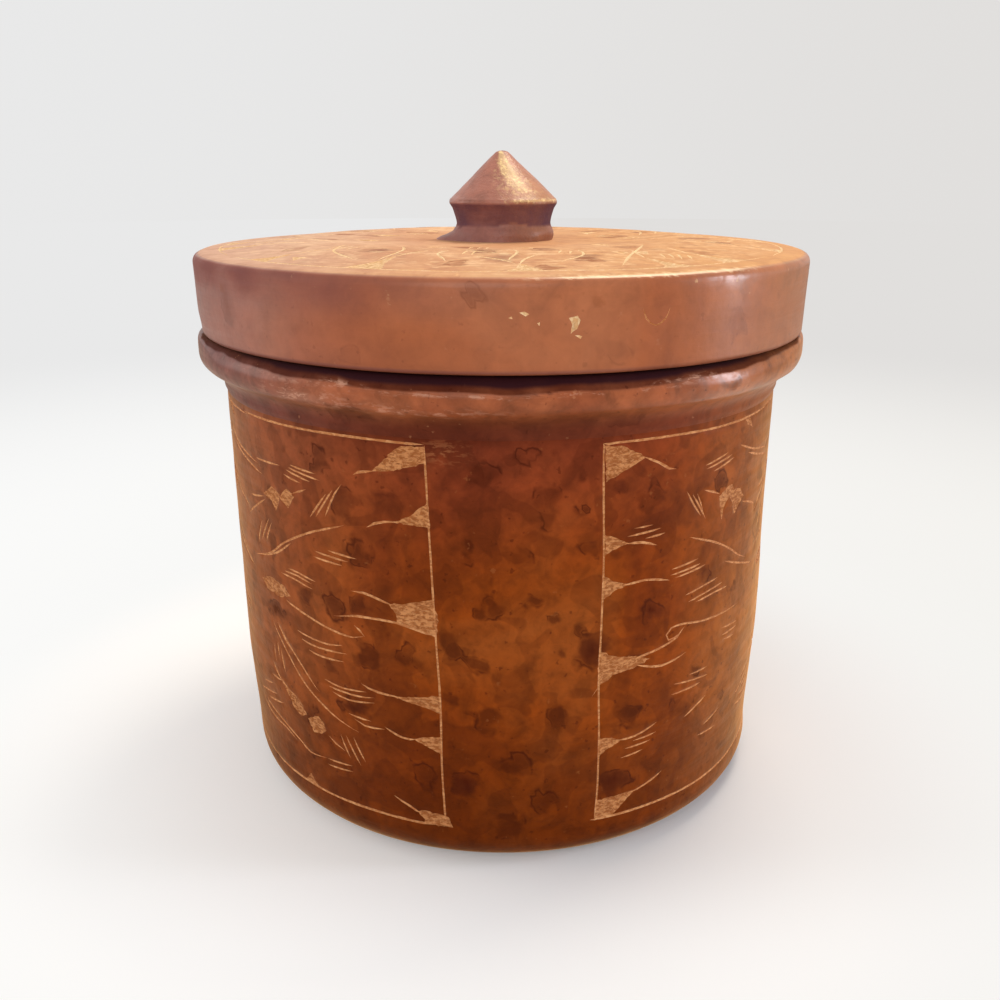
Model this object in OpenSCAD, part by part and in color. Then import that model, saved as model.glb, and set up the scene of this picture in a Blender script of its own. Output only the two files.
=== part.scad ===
// Lidded pottery jar: a round jar with a coiled collar, and a cap lid that drops over its neck.
// Millimetres, base centre at the origin, +Z up.

/* [Jar] */
// Outer diameter of the wall
jar_d = 139.6; // [130:0.2:150]
// Height of the seat that carries the lid
seat_h = 116.6; // [90:0.2:150]
// Thickness of the wall
wall_t = 6.8; // [5.4:0.2:9]
// Thickness of the floor slab
floor_t = 7; // [5:0.5:11]
// Rounding where the wall turns under
foot_round_r = 9; // [5:0.5:10]
// How much the wall draws in on its way down to the foot
foot_draw = 0.8; // [0:0.1:3]
// Height over which it draws in
foot_draw_h = 34; // [20:1:60]
// Rounding inside, between wall and floor
inner_round_r = 4; // [2:0.5:5.5]
// Width of the wall's turned-in foot that holds the floor slab
foot_turn_in = 13; // [11:0.5:18]

/* [Neck] */
// Height of the neck above the seat
neck_h = 8; // [5:0.5:10.5]
// Room between the neck and the inside of the lid's skirt
neck_gap = 1.4; // [0.8:0.1:2]

/* [Collar] */
// How far the collar's bead stands out from the wall
collar_out = 6.1; // [5:0.1:8]
// Thickness of the collar's bead
bead_d = 8.8; // [7:0.2:9.6]
// Height of the collar from the seat to its smeared lower edge
collar_h = 13.1; // [11:0.1:18]
// Thickness of the smeared lower edge
smear_t = 0.5; // [0.3:0.1:1]

/* [Lid] */
// How far the lid's lower edge lies inside the collar's bead
lid_inset = 0.9; // [0:0.1:2]
// Height of the lid's side, from its lower edge to the top's edge
lid_side_h = 18.4; // [15.8:0.2:26]
// How much the side leans out on its way up
lid_flare = 0.45; // [0:0.05:1]
// Thickness of the skirt's wall
skirt_t = 6; // [4:0.25:7]
// Rounding of the skirt's lower edges
skirt_edge_r = 0.8; // [0.3:0.1:1.5]
// Thickness of the lid's top at its edge
lid_top_t = 6; // [4.5:0.25:7.5]
// Rounding of the lid's upper edge
lid_edge_r = 3; // [1:0.25:3.5]
// How much the lid's top rises to its middle
dome_rise = 1.8; // [0.8:0.1:5]

/* [Knob] */
// Height of the knob above the lid's top
knob_h = 21.2; // [17:0.2:28]
// Diameter of the knob at its rim
knob_d = 27; // [22:0.5:32]
// Height of the rim's middle above the lid's top
knob_rim_h = 9.1; // [7:0.1:11]
// Rounding of the rim
knob_rim_r = 1.1; // [0.6:0.1:1.6]
// Diameter of the waist under the rim
knob_waist_d = 23.7; // [18:0.1:24.5]
// Height of the waist above the lid's top
knob_waist_h = 3.4; // [2.4:0.1:5]
// Diameter of the slip band where the knob joins the lid
knob_foot_d = 26; // [25:0.2:30]
// Rounding of the knob's tip
knob_tip_r = 3.6; // [1.5:0.1:5]

/* [Hidden] */
$fn = 96;
// Steps in each round stretch of an outline, and in the curve of the lid's top
arc_steps = 12;
dome_steps = 14;
// Rings of the jar
jar_r = jar_d / 2;
bore_r = jar_r - wall_t;
foot_r = jar_r - foot_draw;
foot_flat_r = foot_r - foot_round_r;
slab_r = foot_r - foot_turn_in;
// Bead, and the cove that rolls from it into the smeared edge
collar_r = jar_r + collar_out;
bead_r = bead_d / 2;
bead_x = collar_r - bead_r;
bead_z = seat_h - bead_r;
cove_z = seat_h - collar_h;
smear_r = jar_r + smear_t;
cove_r = (pow(bead_x - smear_r, 2) + pow(bead_z - cove_z, 2) - pow(bead_r, 2)) / (2 * (collar_r - smear_r));
cove_x = smear_r + cove_r;
cove_a = atan2(cove_z - bead_z, cove_x - bead_x);
// Skirt, and the neck that it drops over
lid_r = collar_r - lid_inset;
skirt_bore_r = lid_r - skirt_t;
neck_r = skirt_bore_r - neck_gap;
lip_r = (neck_r - bore_r) / 2;
lip_z = seat_h + neck_h - lip_r;
// Lid's top: the side leans out to it, and it rises to a flat land under the knob
lid_top_r = lid_r + lid_flare;
lid_edge_z = seat_h + lid_side_h;
under_z = lid_edge_z - lid_top_t;
under_r = lid_r + lid_flare * (under_z - seat_h) / lid_side_h;
land_r = knob_foot_d / 2;
edge_x = lid_top_r - lid_edge_r;
// Knob: rim and tip are two rounds with the cone's straight side between them
knob_z = lid_edge_z + dome_rise;
rim_x = knob_d / 2 - knob_rim_r;
rim_z = knob_z + knob_rim_h;
tip_z = knob_z + knob_h - knob_tip_r;
cone_span = norm([rim_x, tip_z - rim_z]);
cone_a = atan2(tip_z - rim_z, -rim_x) - acos((knob_rim_r - knob_tip_r) / cone_span);

// Height of the lid's top at a distance from the axis
function dome_z(x) = lid_edge_z + dome_rise * (1 - pow((x - land_r) / (lid_top_r - land_r), 2));

// A point at an angle round a centre, and a row of them along an arc
function around(x, z, r, a) = [x + r * cos(a), z + r * sin(a)];
function arc(x, z, r, from, to) = [for (i = [0:arc_steps]) around(x, z, r, from + (to - from) * i / arc_steps)];

// Turns a half section, drawn beside its axis, into a round piece
module thrown(outline) { rotate_extrude() polygon(outline); }

// Slab that closes the jar, held inside the wall's turned-in foot
module jar_floor() {
    color("#9a4f22")
    cylinder(r = slab_r, h = floor_t);
}

// Wall: turned-in and rounded foot, slight draw, seat, neck with a round lip, and the bore
module jar_wall() {
    color("#8a4018")
    thrown(concat(
        [[slab_r, 0]],
        arc(foot_flat_r, foot_round_r, foot_round_r, 270, 360),
        [[jar_r, foot_draw_h], [jar_r, seat_h], [neck_r, seat_h]],
        arc(bore_r + lip_r, lip_z, lip_r, 0, 180),
        arc(bore_r - inner_round_r, floor_t + inner_round_r, inner_round_r, 360, 270),
        [[slab_r, floor_t]]
    ));
}

// Coil laid round the wall: a bead above, then a cove smeared out below
module rim_collar() {
    color("#a35530")
    thrown(concat(
        [[jar_r, cove_z], [jar_r, seat_h]],
        arc(bead_x, bead_z, bead_r, 90, cove_a),
        arc(cove_x, cove_z, cove_r, 180 + cove_a, 180)
    ));
}

// Strip that stands under the lid's top and drops over the neck
module lid_skirt() {
    edge_z = seat_h + skirt_edge_r;
    color("#a8623f")
    thrown(concat(
        arc(skirt_bore_r + skirt_edge_r, edge_z, skirt_edge_r, 180, 270),
        arc(lid_r - skirt_edge_r, edge_z, skirt_edge_r, 270, 360),
        [[under_r, under_z], [skirt_bore_r, under_z]]
    ));
}

// Lid's top: flat underneath, rounded at its edge, with a low dome
module lid_top() {
    color("#c98a5c")
    thrown(concat(
        [[0, under_z], [under_r, under_z]],
        arc(edge_x, dome_z(edge_x) - lid_edge_r, lid_edge_r, 0, 90),
        [for (i = [1:dome_steps]) let (x = edge_x + (land_r - edge_x) * i / dome_steps) [x, dome_z(x)]],
        [[0, knob_z]]
    ));
}

// Turned knob: slip band, waist, rounded rim and a blunt cone
module lid_knob() {
    color("#8f4c3c")
    thrown(concat(
        [[0, knob_z], [land_r, knob_z], [knob_waist_d / 2, knob_z + knob_waist_h]],
        arc(rim_x, rim_z, knob_rim_r, -cone_a, cone_a),
        arc(0, tip_z, knob_tip_r, cone_a, 90)
    ));
}

jar_floor();
jar_wall();
rim_collar();
lid_skirt();
lid_top();
lid_knob();
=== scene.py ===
import math
import bpy
import bmesh
import numpy as np
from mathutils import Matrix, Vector
from mathutils.geometry import delaunay_2d_cdt


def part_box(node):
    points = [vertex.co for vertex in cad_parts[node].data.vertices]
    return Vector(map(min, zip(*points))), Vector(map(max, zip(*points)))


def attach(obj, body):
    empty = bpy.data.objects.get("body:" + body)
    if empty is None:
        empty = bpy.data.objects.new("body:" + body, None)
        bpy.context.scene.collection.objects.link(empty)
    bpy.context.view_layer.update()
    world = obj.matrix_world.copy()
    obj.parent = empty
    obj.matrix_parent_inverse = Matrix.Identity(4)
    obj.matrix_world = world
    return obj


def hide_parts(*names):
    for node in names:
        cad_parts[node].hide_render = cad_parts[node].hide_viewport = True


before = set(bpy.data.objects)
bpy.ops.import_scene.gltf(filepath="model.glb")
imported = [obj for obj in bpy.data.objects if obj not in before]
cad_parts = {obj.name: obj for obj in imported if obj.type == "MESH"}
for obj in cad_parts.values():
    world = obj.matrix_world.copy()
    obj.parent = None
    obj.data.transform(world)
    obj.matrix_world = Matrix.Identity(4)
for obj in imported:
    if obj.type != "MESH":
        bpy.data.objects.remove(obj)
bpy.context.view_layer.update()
print("frame loaded:", ", ".join(sorted(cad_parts)))

# Sizes are in millimetres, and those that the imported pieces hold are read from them
mm = 0.001
slabBox, wallBox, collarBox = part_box("jar_floor"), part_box("jar_wall"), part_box("rim_collar")
skirtBox, topBox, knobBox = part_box("lid_skirt"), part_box("lid_top"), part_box("lid_knob")
jarRadius = wallBox[1].x / mm
seatHeight = collarBox[1].z / mm
seamHeight = topBox[0].z / mm  # where the lid's top meets its skirt
columns = 384  # divisions round the jar, the same on every thrown piece so that seams meet
panelCount = 3  # framed panels that go round the wall
panelPitch = 2 * math.pi * jarRadius / panelCount
stripMiddle = 4.0  # the front strip between two panels lies this far to the right
seamAngle = -panelPitch / jarRadius + stripMiddle / jarRadius  # middle of the next strip, where sheets close


# Helpers

def paint(code):
    # Turns a colour as seen on a screen into the linear one that a shader takes
    channels = [int(code[i:i + 2], 16) / 255 for i in (1, 3, 5)]
    return [c / 12.92 if c < 0.04045 else ((c + 0.055) / 1.055) ** 2.4 for c in channels] + [1.0]


def ease(value, low, high):
    # 0 up to low, 1 from high on, and smooth between them
    t = np.clip((value - low) / (high - low), 0, 1)
    return t * t * (3 - 2 * t)


def bump(value, middle, width):
    # 1 at the middle, falling softly away over the width on both sides
    return np.exp(-((value - middle) / width) ** 2)


def swells(points, size, seed):
    # Smooth random swells about as long as size, between -1 and 1
    draw = np.random.default_rng(seed)
    total = np.zeros(len(points))
    for _ in range(9):
        way = draw.normal(size=points.shape[1])
        way *= draw.uniform(0.6, 1.5) / np.linalg.norm(way)
        total += np.sin(points @ way * (2 * math.pi / size) + draw.uniform(0, 2 * math.pi))
    return np.clip(total / 4.5, -1, 1)


def roundPath(points, step):
    # A smooth line through a few points, with a new point about every step
    p = np.array(points, float)
    p = np.vstack([2 * p[0] - p[1], p, 2 * p[-1] - p[-2]])
    line = []
    for a, b, c, d in zip(p[:-3], p[1:-2], p[2:-1], p[3:]):
        count = max(1, int(np.linalg.norm(c - b) / step))
        for t in np.arange(count) / count:
            line.append(0.5 * (2 * b + (c - a) * t + (2 * a - 5 * b + 4 * c - d) * t ** 2
                               + (3 * b - a - 3 * c + d) * t ** 3))
    return np.array(line + [p[-2]])


def arcPoints(x, z, r, start, end, count):
    angles = np.radians(np.linspace(start, end, count))
    return [(x + r * math.cos(a), z + r * math.sin(a)) for a in angles]


def densify(profile, step):
    # The same straight stretches, divided into parts about a step long
    points = [profile[0]]
    for a, b in zip(profile[:-1], profile[1:]):
        count = max(1, int(math.hypot(b[0] - a[0], b[1] - a[1]) / step + 0.5))
        points += [(a[0] + (b[0] - a[0]) * t / count, a[1] + (b[1] - a[1]) * t / count)
                   for t in range(1, count + 1)]
    return points


def halfTurns(angle):
    # The same angle, between half a turn to the left and half a turn to the right
    return (angle + math.pi) % (2 * math.pi) - math.pi


def spun(points, degrees):
    # Flat points turned about the middle
    c, s = math.cos(math.radians(degrees)), math.sin(math.radians(degrees))
    return [(x * c - y * s, x * s + y * c) for x, y in points]


def linked(name, data):
    made = bpy.data.objects.new(name, data)
    bpy.context.scene.collection.objects.link(made)
    return made


# Carving tools

# Each piece lists its materials in this order
skinPlace, scrapedPlace, rawPlace, scratchedPlace = 0, 1, 2, 3
carving = {  # in mm, or as shares
    "startRun": 0.22, "endRun": 0.3,  # shares of a groove's length over which it widens and thins out
    "unevenWidth": (0.86, 1.14), "thinnest": 0.05,
    "grooveSearch": 1.2, "patchSearch": 0.6,  # how far round a cut its sheet's points are looked for
    "grooveClear": 0.3, "patchClear": 0.35,  # and how near its edge they are taken away
    "bedClear": 0.3, "bedSlope": 0.3,  # a bed's own points keep off its edge, and it slopes down from there
    "edgeStep": 0.7,  # length of the ragged parts that a patch's edge is broken into
    "grooveReach": 0.6, "patchReach": 0.1,  # how far round a cut a point may belong to it
    "hollow": 0.8, "bareTo": 0.97,  # how round a groove's sides are, and how far up them the clay is bare
    "unevenBed": 0.55,  # share by which a bed's depth varies up and down
}


def scratch(points, width, depth, blunt, step, seed):
    # One pull of the point through the skin: a V groove that thins out at its ends
    path = roundPath(points, step)
    run = np.concatenate([[0], np.cumsum(np.linalg.norm(np.diff(path, axis=0), axis=1))])
    t = run / run[-1]
    draw = np.random.default_rng(seed + len(path))
    widening = np.minimum(1, blunt[0] + t / carving["startRun"])
    half = width / 2 * widening * np.minimum(1, blunt[1] + (1 - t) / carving["endRun"])
    half *= draw.uniform(*carving["unevenWidth"], len(path))
    return {"path": path, "half": np.maximum(half, carving["thinnest"]), "depth": depth}


def scrape(outline, depth=0.24, ragged=0.12, grain=0.62, seed=0):
    # A patch where the skin is scraped off, with a ragged edge and a stippled bed
    ring = np.array(outline, float)
    draw = np.random.default_rng(seed + int(abs(ring[0, 0]) * 10))
    edge = []
    for a, b in zip(ring, np.roll(ring, -1, axis=0)):
        count = max(1, int(np.linalg.norm(b - a) / carving["edgeStep"]))
        for k in range(count):
            edge.append(a + (b - a) * k / count + draw.normal(size=2) * ragged * (k > 0))
    return {"edge": np.array(edge), "depth": depth, "grain": grain}


def inside(points, edge):
    x, y = points[:, 0], points[:, 1]
    hit = np.zeros(len(points), bool)
    for (ax, ay), (bx, by) in zip(edge, np.roll(edge, -1, axis=0)):
        if ay != by:
            hit ^= ((ay > y) != (by > y)) & (x < (bx - ax) * (y - ay) / (by - ay) + ax)
    return hit


def edgeDistance(points, path, halves=None):
    # Distance to a line, and how far across the groove each point lies (1 at its edge)
    best = np.full(len(points), 1e9)
    across = np.full(len(points), 1e9)
    halves = np.ones(len(path)) if halves is None else halves
    for a, b, ha, hb in zip(path[:-1], path[1:], halves[:-1], halves[1:]):
        way = b - a
        t = np.clip((points - a) @ way / max(way @ way, 1e-9), 0, 1)
        gap = np.linalg.norm(points - a - t[:, None] * way, axis=1)
        best = np.minimum(best, gap)
        across = np.minimum(across, gap / (ha + (hb - ha) * t))
    return best, across


def near(points, line, reach):
    low, high = line.min(0) - reach, line.max(0) + reach
    return np.flatnonzero(((points > low) & (points < high)).all(axis=1))


def stipples(edge, grain, draw):
    # Points strewn over a patch's bed, a grain or more apart
    low, high = edge.min(0), edge.max(0)
    tries = draw.uniform(low, high, (int(np.prod(high - low) / grain ** 2 * 1.5) + 4, 2))
    tries = tries[inside(tries, edge)]
    tries = tries[edgeDistance(tries, np.vstack([edge, edge[:1]]))[0] > carving["bedClear"]]
    chosen = []
    for p in tries:
        if all(abs(p[0] - q[0]) + abs(p[1] - q[1]) > grain for q in chosen):
            chosen.append(p)
    return chosen


def carve(sheet, rim, cuts, seed):
    # Cuts grooves and scraped patches into a flat sheet: returns points, triangles, depths and kinds of face
    draw = np.random.default_rng(seed)
    keep = np.ones(len(sheet), bool)
    extra, edges = [], []
    first = len(sheet)

    def lay(points, closed=False):
        start = first + sum(len(e) for e in extra)
        extra.append(points)
        edges.extend((start + i, start + i + 1) for i in range(len(points) - 1))
        if closed:
            edges.append((start + len(points) - 1, start))

    for cut in cuts:
        if "path" in cut:
            path, half = cut["path"], cut["half"]
            close = near(sheet, path, carving["grooveSearch"])
            gap = edgeDistance(sheet[close], path)[0]
            keep[close[gap < half.max() + carving["grooveClear"]]] = False
            way = np.gradient(path, axis=0)
            side = np.stack([-way[:, 1], way[:, 0]], 1) / np.linalg.norm(way, axis=1)[:, None]
            left, right = path + side * half[:, None], path - side * half[:, None]
            lay(np.vstack([path[:1], left[1:-1], path[-1:], right[1:-1][::-1]]), closed=True)
            if len(path) > 2:
                lay(path[1:-1])
        else:
            edge = cut["edge"]
            close = near(sheet, edge, carving["patchSearch"])
            gap = edgeDistance(sheet[close], edge)[0]
            keep[close[inside(sheet[close], edge) | (gap < carving["patchClear"])]] = False
            lay(edge, closed=True)
            chosen = stipples(edge, cut["grain"], draw)
            if chosen:
                extra.append(np.array(chosen))
    keep[rim] = True
    everything = np.vstack([sheet[keep]] + extra)
    shift = int((~keep).sum())
    edges = [(a - shift, b - shift) for a, b in edges]
    points, _, triangles, *_ = delaunay_2d_cdt([Vector(p) for p in everything], edges, [], 0, 1e-4, False)
    points = np.array([tuple(p) for p in points])
    triangles = np.array([t for t in triangles if len(t) == 3])
    a, b, c = (points[triangles[:, i]] for i in range(3))
    area = np.abs((b - a)[:, 0] * (c - a)[:, 1] - (b - a)[:, 1] * (c - a)[:, 0])
    triangles = triangles[area > 1e-7]
    depth, _ = cutDepth(points, cuts, draw)
    _, kind = cutDepth(points[triangles].mean(axis=1), cuts, draw)
    return points, triangles, depth, kind


def cutDepth(points, cuts, draw):
    # How deep each point lies under the skin, and which material its cut lays bare
    depth = np.zeros(len(points))
    kind = np.zeros(len(points), int)
    for cut in cuts:
        if "path" in cut:
            close = near(points, cut["path"], carving["grooveReach"])
            across = edgeDistance(points[close], cut["path"], cut["half"])[1]
            deep = cut["depth"] * np.clip(1 - across, 0, 1) ** carving["hollow"]
            mark = scratchedPlace * (across < carving["bareTo"])
        else:
            close = near(points, cut["edge"], carving["patchReach"])
            ring = np.vstack([cut["edge"], cut["edge"][:1]])
            gap = edgeDistance(points[close], ring)[0]
            hit = inside(points[close], cut["edge"])
            uneven = 1 + draw.uniform(-carving["unevenBed"], carving["unevenBed"], len(close))
            deep = cut["depth"] * np.clip(gap / carving["bedSlope"], 0, 1) * uneven * hit
            mark = scrapedPlace * hit
        depth[close] = np.maximum(depth[close], deep)
        kind[close] = np.maximum(kind[close], mark)
    return depth, kind


# Throwing: every piece is gathered as points and faces, then fired into one closed mesh

def emptyClay():
    return {"points": [], "faces": [], "finish": []}


def addPoints(clay, points):
    start = sum(len(p) for p in clay["points"])
    clay["points"].append(np.asarray(points, float))
    return start


def addSheet(clay, points, triangles, finish):
    start = addPoints(clay, points)
    clay["faces"] += [tuple(int(i) + start for i in t) for t in triangles]
    clay["finish"] += [int(f) for f in finish]


def addRows(clay, rows, finish):
    # rows is a list of rings, each with one point per column; neighbours are joined by squares
    count = len(rows[0])
    start = addPoints(clay, np.vstack(rows))
    for i in range(len(rows) - 1):
        for k in range(count):
            n = (k + 1) % count
            clay["faces"].append((start + i * count + k, start + i * count + n,
                                  start + (i + 1) * count + n, start + (i + 1) * count + k))
    clay["finish"] += [finish] * ((len(rows) - 1) * count)


def addCap(clay, ring, middle, finish):
    start = addPoints(clay, np.vstack([ring, [middle]]))
    count = len(ring)
    clay["faces"] += [(start + k, start + (k + 1) % count, start + count) for k in range(count)]
    clay["finish"] += [finish] * count


def blankSheet(radius, low, high, rows):
    # A flat sheet that goes round once, as a grid of points, and which of them are on its rim
    circle = 2 * math.pi * radius
    arcs = seamAngle * radius + np.arange(columns + 1) * circle / columns
    sheet = np.stack(np.meshgrid(arcs, np.linspace(low, high, rows + 1)), axis=-1).reshape(-1, 2)
    column, row = np.meshgrid(np.arange(columns + 1), np.arange(rows + 1))
    return sheet, ((column % columns == 0) | (row % rows == 0)).reshape(-1)


def ringAngles(count=columns):
    return seamAngle + np.arange(count) * 2 * math.pi / count


def turned(angles, radius, height):
    # Points on the jar: angle 0 is the front, and a positive angle goes to the right
    radius, height = np.broadcast_to(radius, angles.shape), np.broadcast_to(height, angles.shape)
    return np.stack([radius * np.sin(angles), -radius * np.cos(angles), height], axis=1)


def fire(name, clay, materials, body, node, crease, stains=None):
    # Closes the gathered clay into one mesh, and sets it in as the piece that takes the node's place
    points = np.vstack(clay["points"])
    mesh = bpy.data.meshes.new(name)
    mesh.from_pydata((points * mm).tolist(), [], clay["faces"])
    mesh.polygons.foreach_set("material_index", clay["finish"])
    work = bmesh.new()
    work.from_mesh(mesh)
    bmesh.ops.remove_doubles(work, verts=work.verts, dist=0.004 * mm)
    bmesh.ops.dissolve_degenerate(work, edges=work.edges, dist=0.002 * mm)
    bmesh.ops.recalc_face_normals(work, faces=work.faces)
    openEdges = sum(1 for e in work.edges if len(e.link_faces) != 2)
    work.to_mesh(mesh)
    work.free()
    for material in materials:
        mesh.materials.append(material)
    mesh.shade_smooth()
    mesh.set_sharp_from_angle(angle=math.radians(crease))
    place = np.zeros(len(mesh.vertices) * 3)
    mesh.vertices.foreach_get("co", place)
    place = place.reshape(-1, 3) / mm
    for label, values in (stains(place) if stains else {}).items():
        layer = mesh.attributes.new(label, "FLOAT", "POINT")
        layer.data.foreach_set("value", values.astype(np.float32))
    piece = linked(name, mesh)
    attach(piece, body)
    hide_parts(node)
    print(f"{name}: {len(mesh.polygons)} faces, {openEdges} open edges")
    return piece


# Stains: smoke from the firing, as soft spots that the material turns into rings and clouds

spotShrink = 0.68  # the spots are listed at the width of their faint outer edge
spotWarps = ((9, 41, 1.3), (3.5, 43, 0.9))  # swells that bend a spot: size, seed, reach


def spotField(flat, spots, period=None):
    # Highest at the middle of each spot, 0 from 1.3 spot radii out; a spot is x, y, size, squash and turn
    total = np.zeros(len(flat))
    warp = sum(np.stack([swells(flat, size, seed), swells(flat, size, seed + 1)], axis=1) * far
               for size, seed, far in spotWarps)
    for x, y, size, squash, turn in spots:
        gap = flat + warp - (x, y)
        if period:
            gap[:, 0] = (gap[:, 0] + period / 2) % period - period / 2
        c, s = math.cos(math.radians(turn)), math.sin(math.radians(turn))
        across = np.stack([gap[:, 0] * c + gap[:, 1] * s, (gap[:, 1] * c - gap[:, 0] * s) / squash], axis=1)
        reach = np.linalg.norm(across, axis=1) / (size * spotShrink / 2)
        total = np.maximum(total, 1.3 - reach)
    return np.clip(total / 1.3, 0, 1)


def unrolled(place, radius=jarRadius):
    # Arc from the front and height, for places on the piece
    return np.stack([np.arctan2(place[:, 0], -place[:, 1]) * radius, place[:, 2]], axis=1)


# Materials

class Finish:
    # Wires up one material; coordinates are the object's own, in metres

    def __init__(self, name, tree=None, out="ShaderNodeOutputMaterial"):
        if tree is None:
            self.material = bpy.data.materials.new(name)
            self.material.use_nodes = True
            tree = self.material.node_tree
        self.tree = tree
        self.tree.nodes.clear()
        self.out = self.tree.nodes.new(out)
        self.coords = self.tree.nodes.new("ShaderNodeTexCoord").outputs["Object"]

    def show(self, shader):
        self.tree.links.new(shader.outputs[0], self.out.inputs[0])

    def put(self, socket, value):
        if isinstance(value, bpy.types.NodeSocket):
            self.tree.links.new(value, socket)
        else:
            socket.default_value = value

    def node(self, kind, sockets=None, **settings):
        made = self.tree.nodes.new(kind)
        for key, value in settings.items():
            setattr(made, key, value)
        for key, value in (sockets or {}).items():
            self.put(made.inputs[key], value)
        return made

    def calc(self, operation, a, b=0.0):
        return self.node("ShaderNodeMath", {0: a, 1: b}, operation=operation).outputs[0]

    def times(self, a, b):
        return self.calc("MULTIPLY", a, b)

    def plus(self, a, b):
        return self.calc("ADD", a, b)

    def attribute(self, name):
        return self.node("ShaderNodeAttribute", attribute_name=name).outputs["Fac"]

    def axes(self):
        return self.node("ShaderNodeSeparateXYZ", {0: self.coords}).outputs

    def grain(self, scale, detail=3.0, rough=0.5, twist=0.0, stretch=(1, 1, 1), shift=(0, 0, 0)):
        # Cloudy noise around 0.5; the scale is in swells per metre
        place = self.node("ShaderNodeMapping", {"Vector": self.coords, "Scale": stretch, "Location": shift})
        made = self.node("ShaderNodeTexNoise", {"Vector": place.outputs[0], "Scale": scale, "Detail": detail,
                                                "Roughness": rough, "Distortion": twist})
        return made.outputs["Fac"]

    def span(self, value, low, high, start=0.0, end=1.0):
        # Goes smoothly from start to end while the value goes from low to high
        made = self.node("ShaderNodeMapRange",
                         {"Value": value, "From Min": low, "From Max": high, "To Min": start, "To Max": end},
                         interpolation_type="SMOOTHSTEP")
        return made.outputs[0]

    def ramp(self, value, *stops):
        made = self.node("ShaderNodeValToRGB", {0: value})
        band = made.color_ramp
        while len(band.elements) < len(stops):
            band.elements.new(0.5)
        for element, (place, colour) in zip(band.elements, stops):
            element.position = place
            element.color = paint(colour) if isinstance(colour, str) else (colour, colour, colour, 1)
        return made.outputs[0]

    def mix(self, amount, a, b, blend="MIX"):
        made = self.node("ShaderNodeMix", data_type="RGBA", blend_type=blend)
        for socket, value in ((made.inputs[0], amount), (made.inputs[6], a), (made.inputs[7], b)):
            self.put(socket, paint(value) if isinstance(value, str) else value)
        return made.outputs[2]

    def relief(self, *layers):
        # Each layer is a height and how deep it goes, in metres
        normal = None
        for height, deep in layers:
            made = self.node("ShaderNodeBump", {"Height": height, "Strength": 1.0, "Distance": deep})
            if normal:
                self.put(made.inputs["Normal"], normal)
            normal = made.outputs[0]
        return normal

    def skin(self, **sockets):
        made = self.node("ShaderNodeBsdfPrincipled")
        for key, value in sockets.items():
            socket = made.inputs[key.replace("_", " ")]
            self.put(socket, paint(value) if isinstance(value, str) else value)
        self.show(made)
        return self.material


def tintedByPlace(f, look, colour):
    # Redder above and darker below, a warmer right side that fades at the back, and a paler left side
    # The darker foot is painted shade; the warm right and the pale left are partly the clay's uneven firing
    # and partly painted light, golden on the right and a pale haze on the left
    x, y, z = f.axes()
    redTop = f.times(f.span(z, look["upperFrom"], look["upperTo"], 0, look["upperShare"]),
                     f.span(x, 0.018, 0.052, 1.0, 0.3))
    colour = f.mix(redTop, colour, look["upper"])
    darkFoot = f.span(z, look["lowerTo"], look["lowerFrom"], look["lowerShare"], 0)
    colour = f.mix(darkFoot, colour, look["lower"])
    warmSide = f.times(f.span(x, look["rightFrom"], look["rightTo"], 0, look["rightShare"]),
                       f.span(f.grain(16, 3, 0.55, 0.5), 0.36, 0.6, 0.5, 1.0))
    warmSide = f.times(warmSide, f.span(z, 0.01, 0.055, 0.45, 1.0))
    warmSide = f.times(warmSide, f.span(y, -0.018, 0.018, 1, 0.25))
    colour = f.mix(warmSide, colour, look["right"])
    paleSide = f.times(f.span(x, look["leftFrom"], -0.07, 0, look["leftShare"]),
                       f.span(z, 0.012, 0.06, 0.35, 1.0))
    return f.mix(paleSide, colour, look["left"])


def topsideColour(f, look):
    # The lid's top is painted paler than its side: painted light from the warm lamp above and the sheen of a
    # grazing view, yellower at the right
    x = f.axes()[0]
    above = f.ramp(f.grain(30, 4, 0.55, 0.6), (0.3, look["topDeep"]), (0.5, look["topside"]),
                   (0.7, look["topWarm"]))
    above = f.mix(f.span(x, -0.02, 0.05, 0, 0.9), above, look["topRight"])
    return f.mix(f.span(x, -0.012, -0.06, 0, 0.75), above, look["topLeft"])


def mottled(f, look, colour):
    # Clouds and blotches rubbed into the slip, and faint brown patches that overlap
    cloud = f.ramp(f.grain(115, 5, 0.62, 0.8), (0.3, 0.22), (0.5, 0.5), (0.72, 0.74))
    colour = f.mix(look["mottle"], colour, cloud, "OVERLAY")
    blotch = f.ramp(f.grain(300, 4, 0.6, 0.5, shift=(0.2, 0.6, 0.4)), (0.36, 0.26), (0.5, 0.5), (0.64, 0.66))
    colour = f.mix(look["mottle"] * 0.7, colour, blotch, "OVERLAY")
    patch = f.span(f.grain(100, 1.5, 0.5, 0.6, shift=(0.7, 0.4, 0.1)), 0.525, 0.56, 0, look["patchShare"])
    return f.mix(patch, colour, look["smoke"])


def smokeRings(f, look):
    # The spot's own height is torn by noise, darkest along its rim and clouded inside
    tear = f.calc("SUBTRACT", f.grain(300, 2, 0.5, 0.2), 0.5)
    torn = f.plus(f.attribute("smoke"), f.times(tear, 0.5))
    rim = f.times(f.ramp(torn, (0.06, 0.0), (0.2, 1.0), (0.42, 0.0)),
                  f.span(f.grain(150, 2, 0.5, 0.3, shift=(0.3, 0.1, 0.7)), 0.42, 0.6))
    cloudy = f.times(f.span(torn, 0.05, 0.5, 0, look["smokeFill"]),
                     f.span(f.grain(90, 3, 0.5), 0.36, 0.6, 0.35, 1.0))
    return f.calc("MAXIMUM", rim, cloudy)


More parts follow.
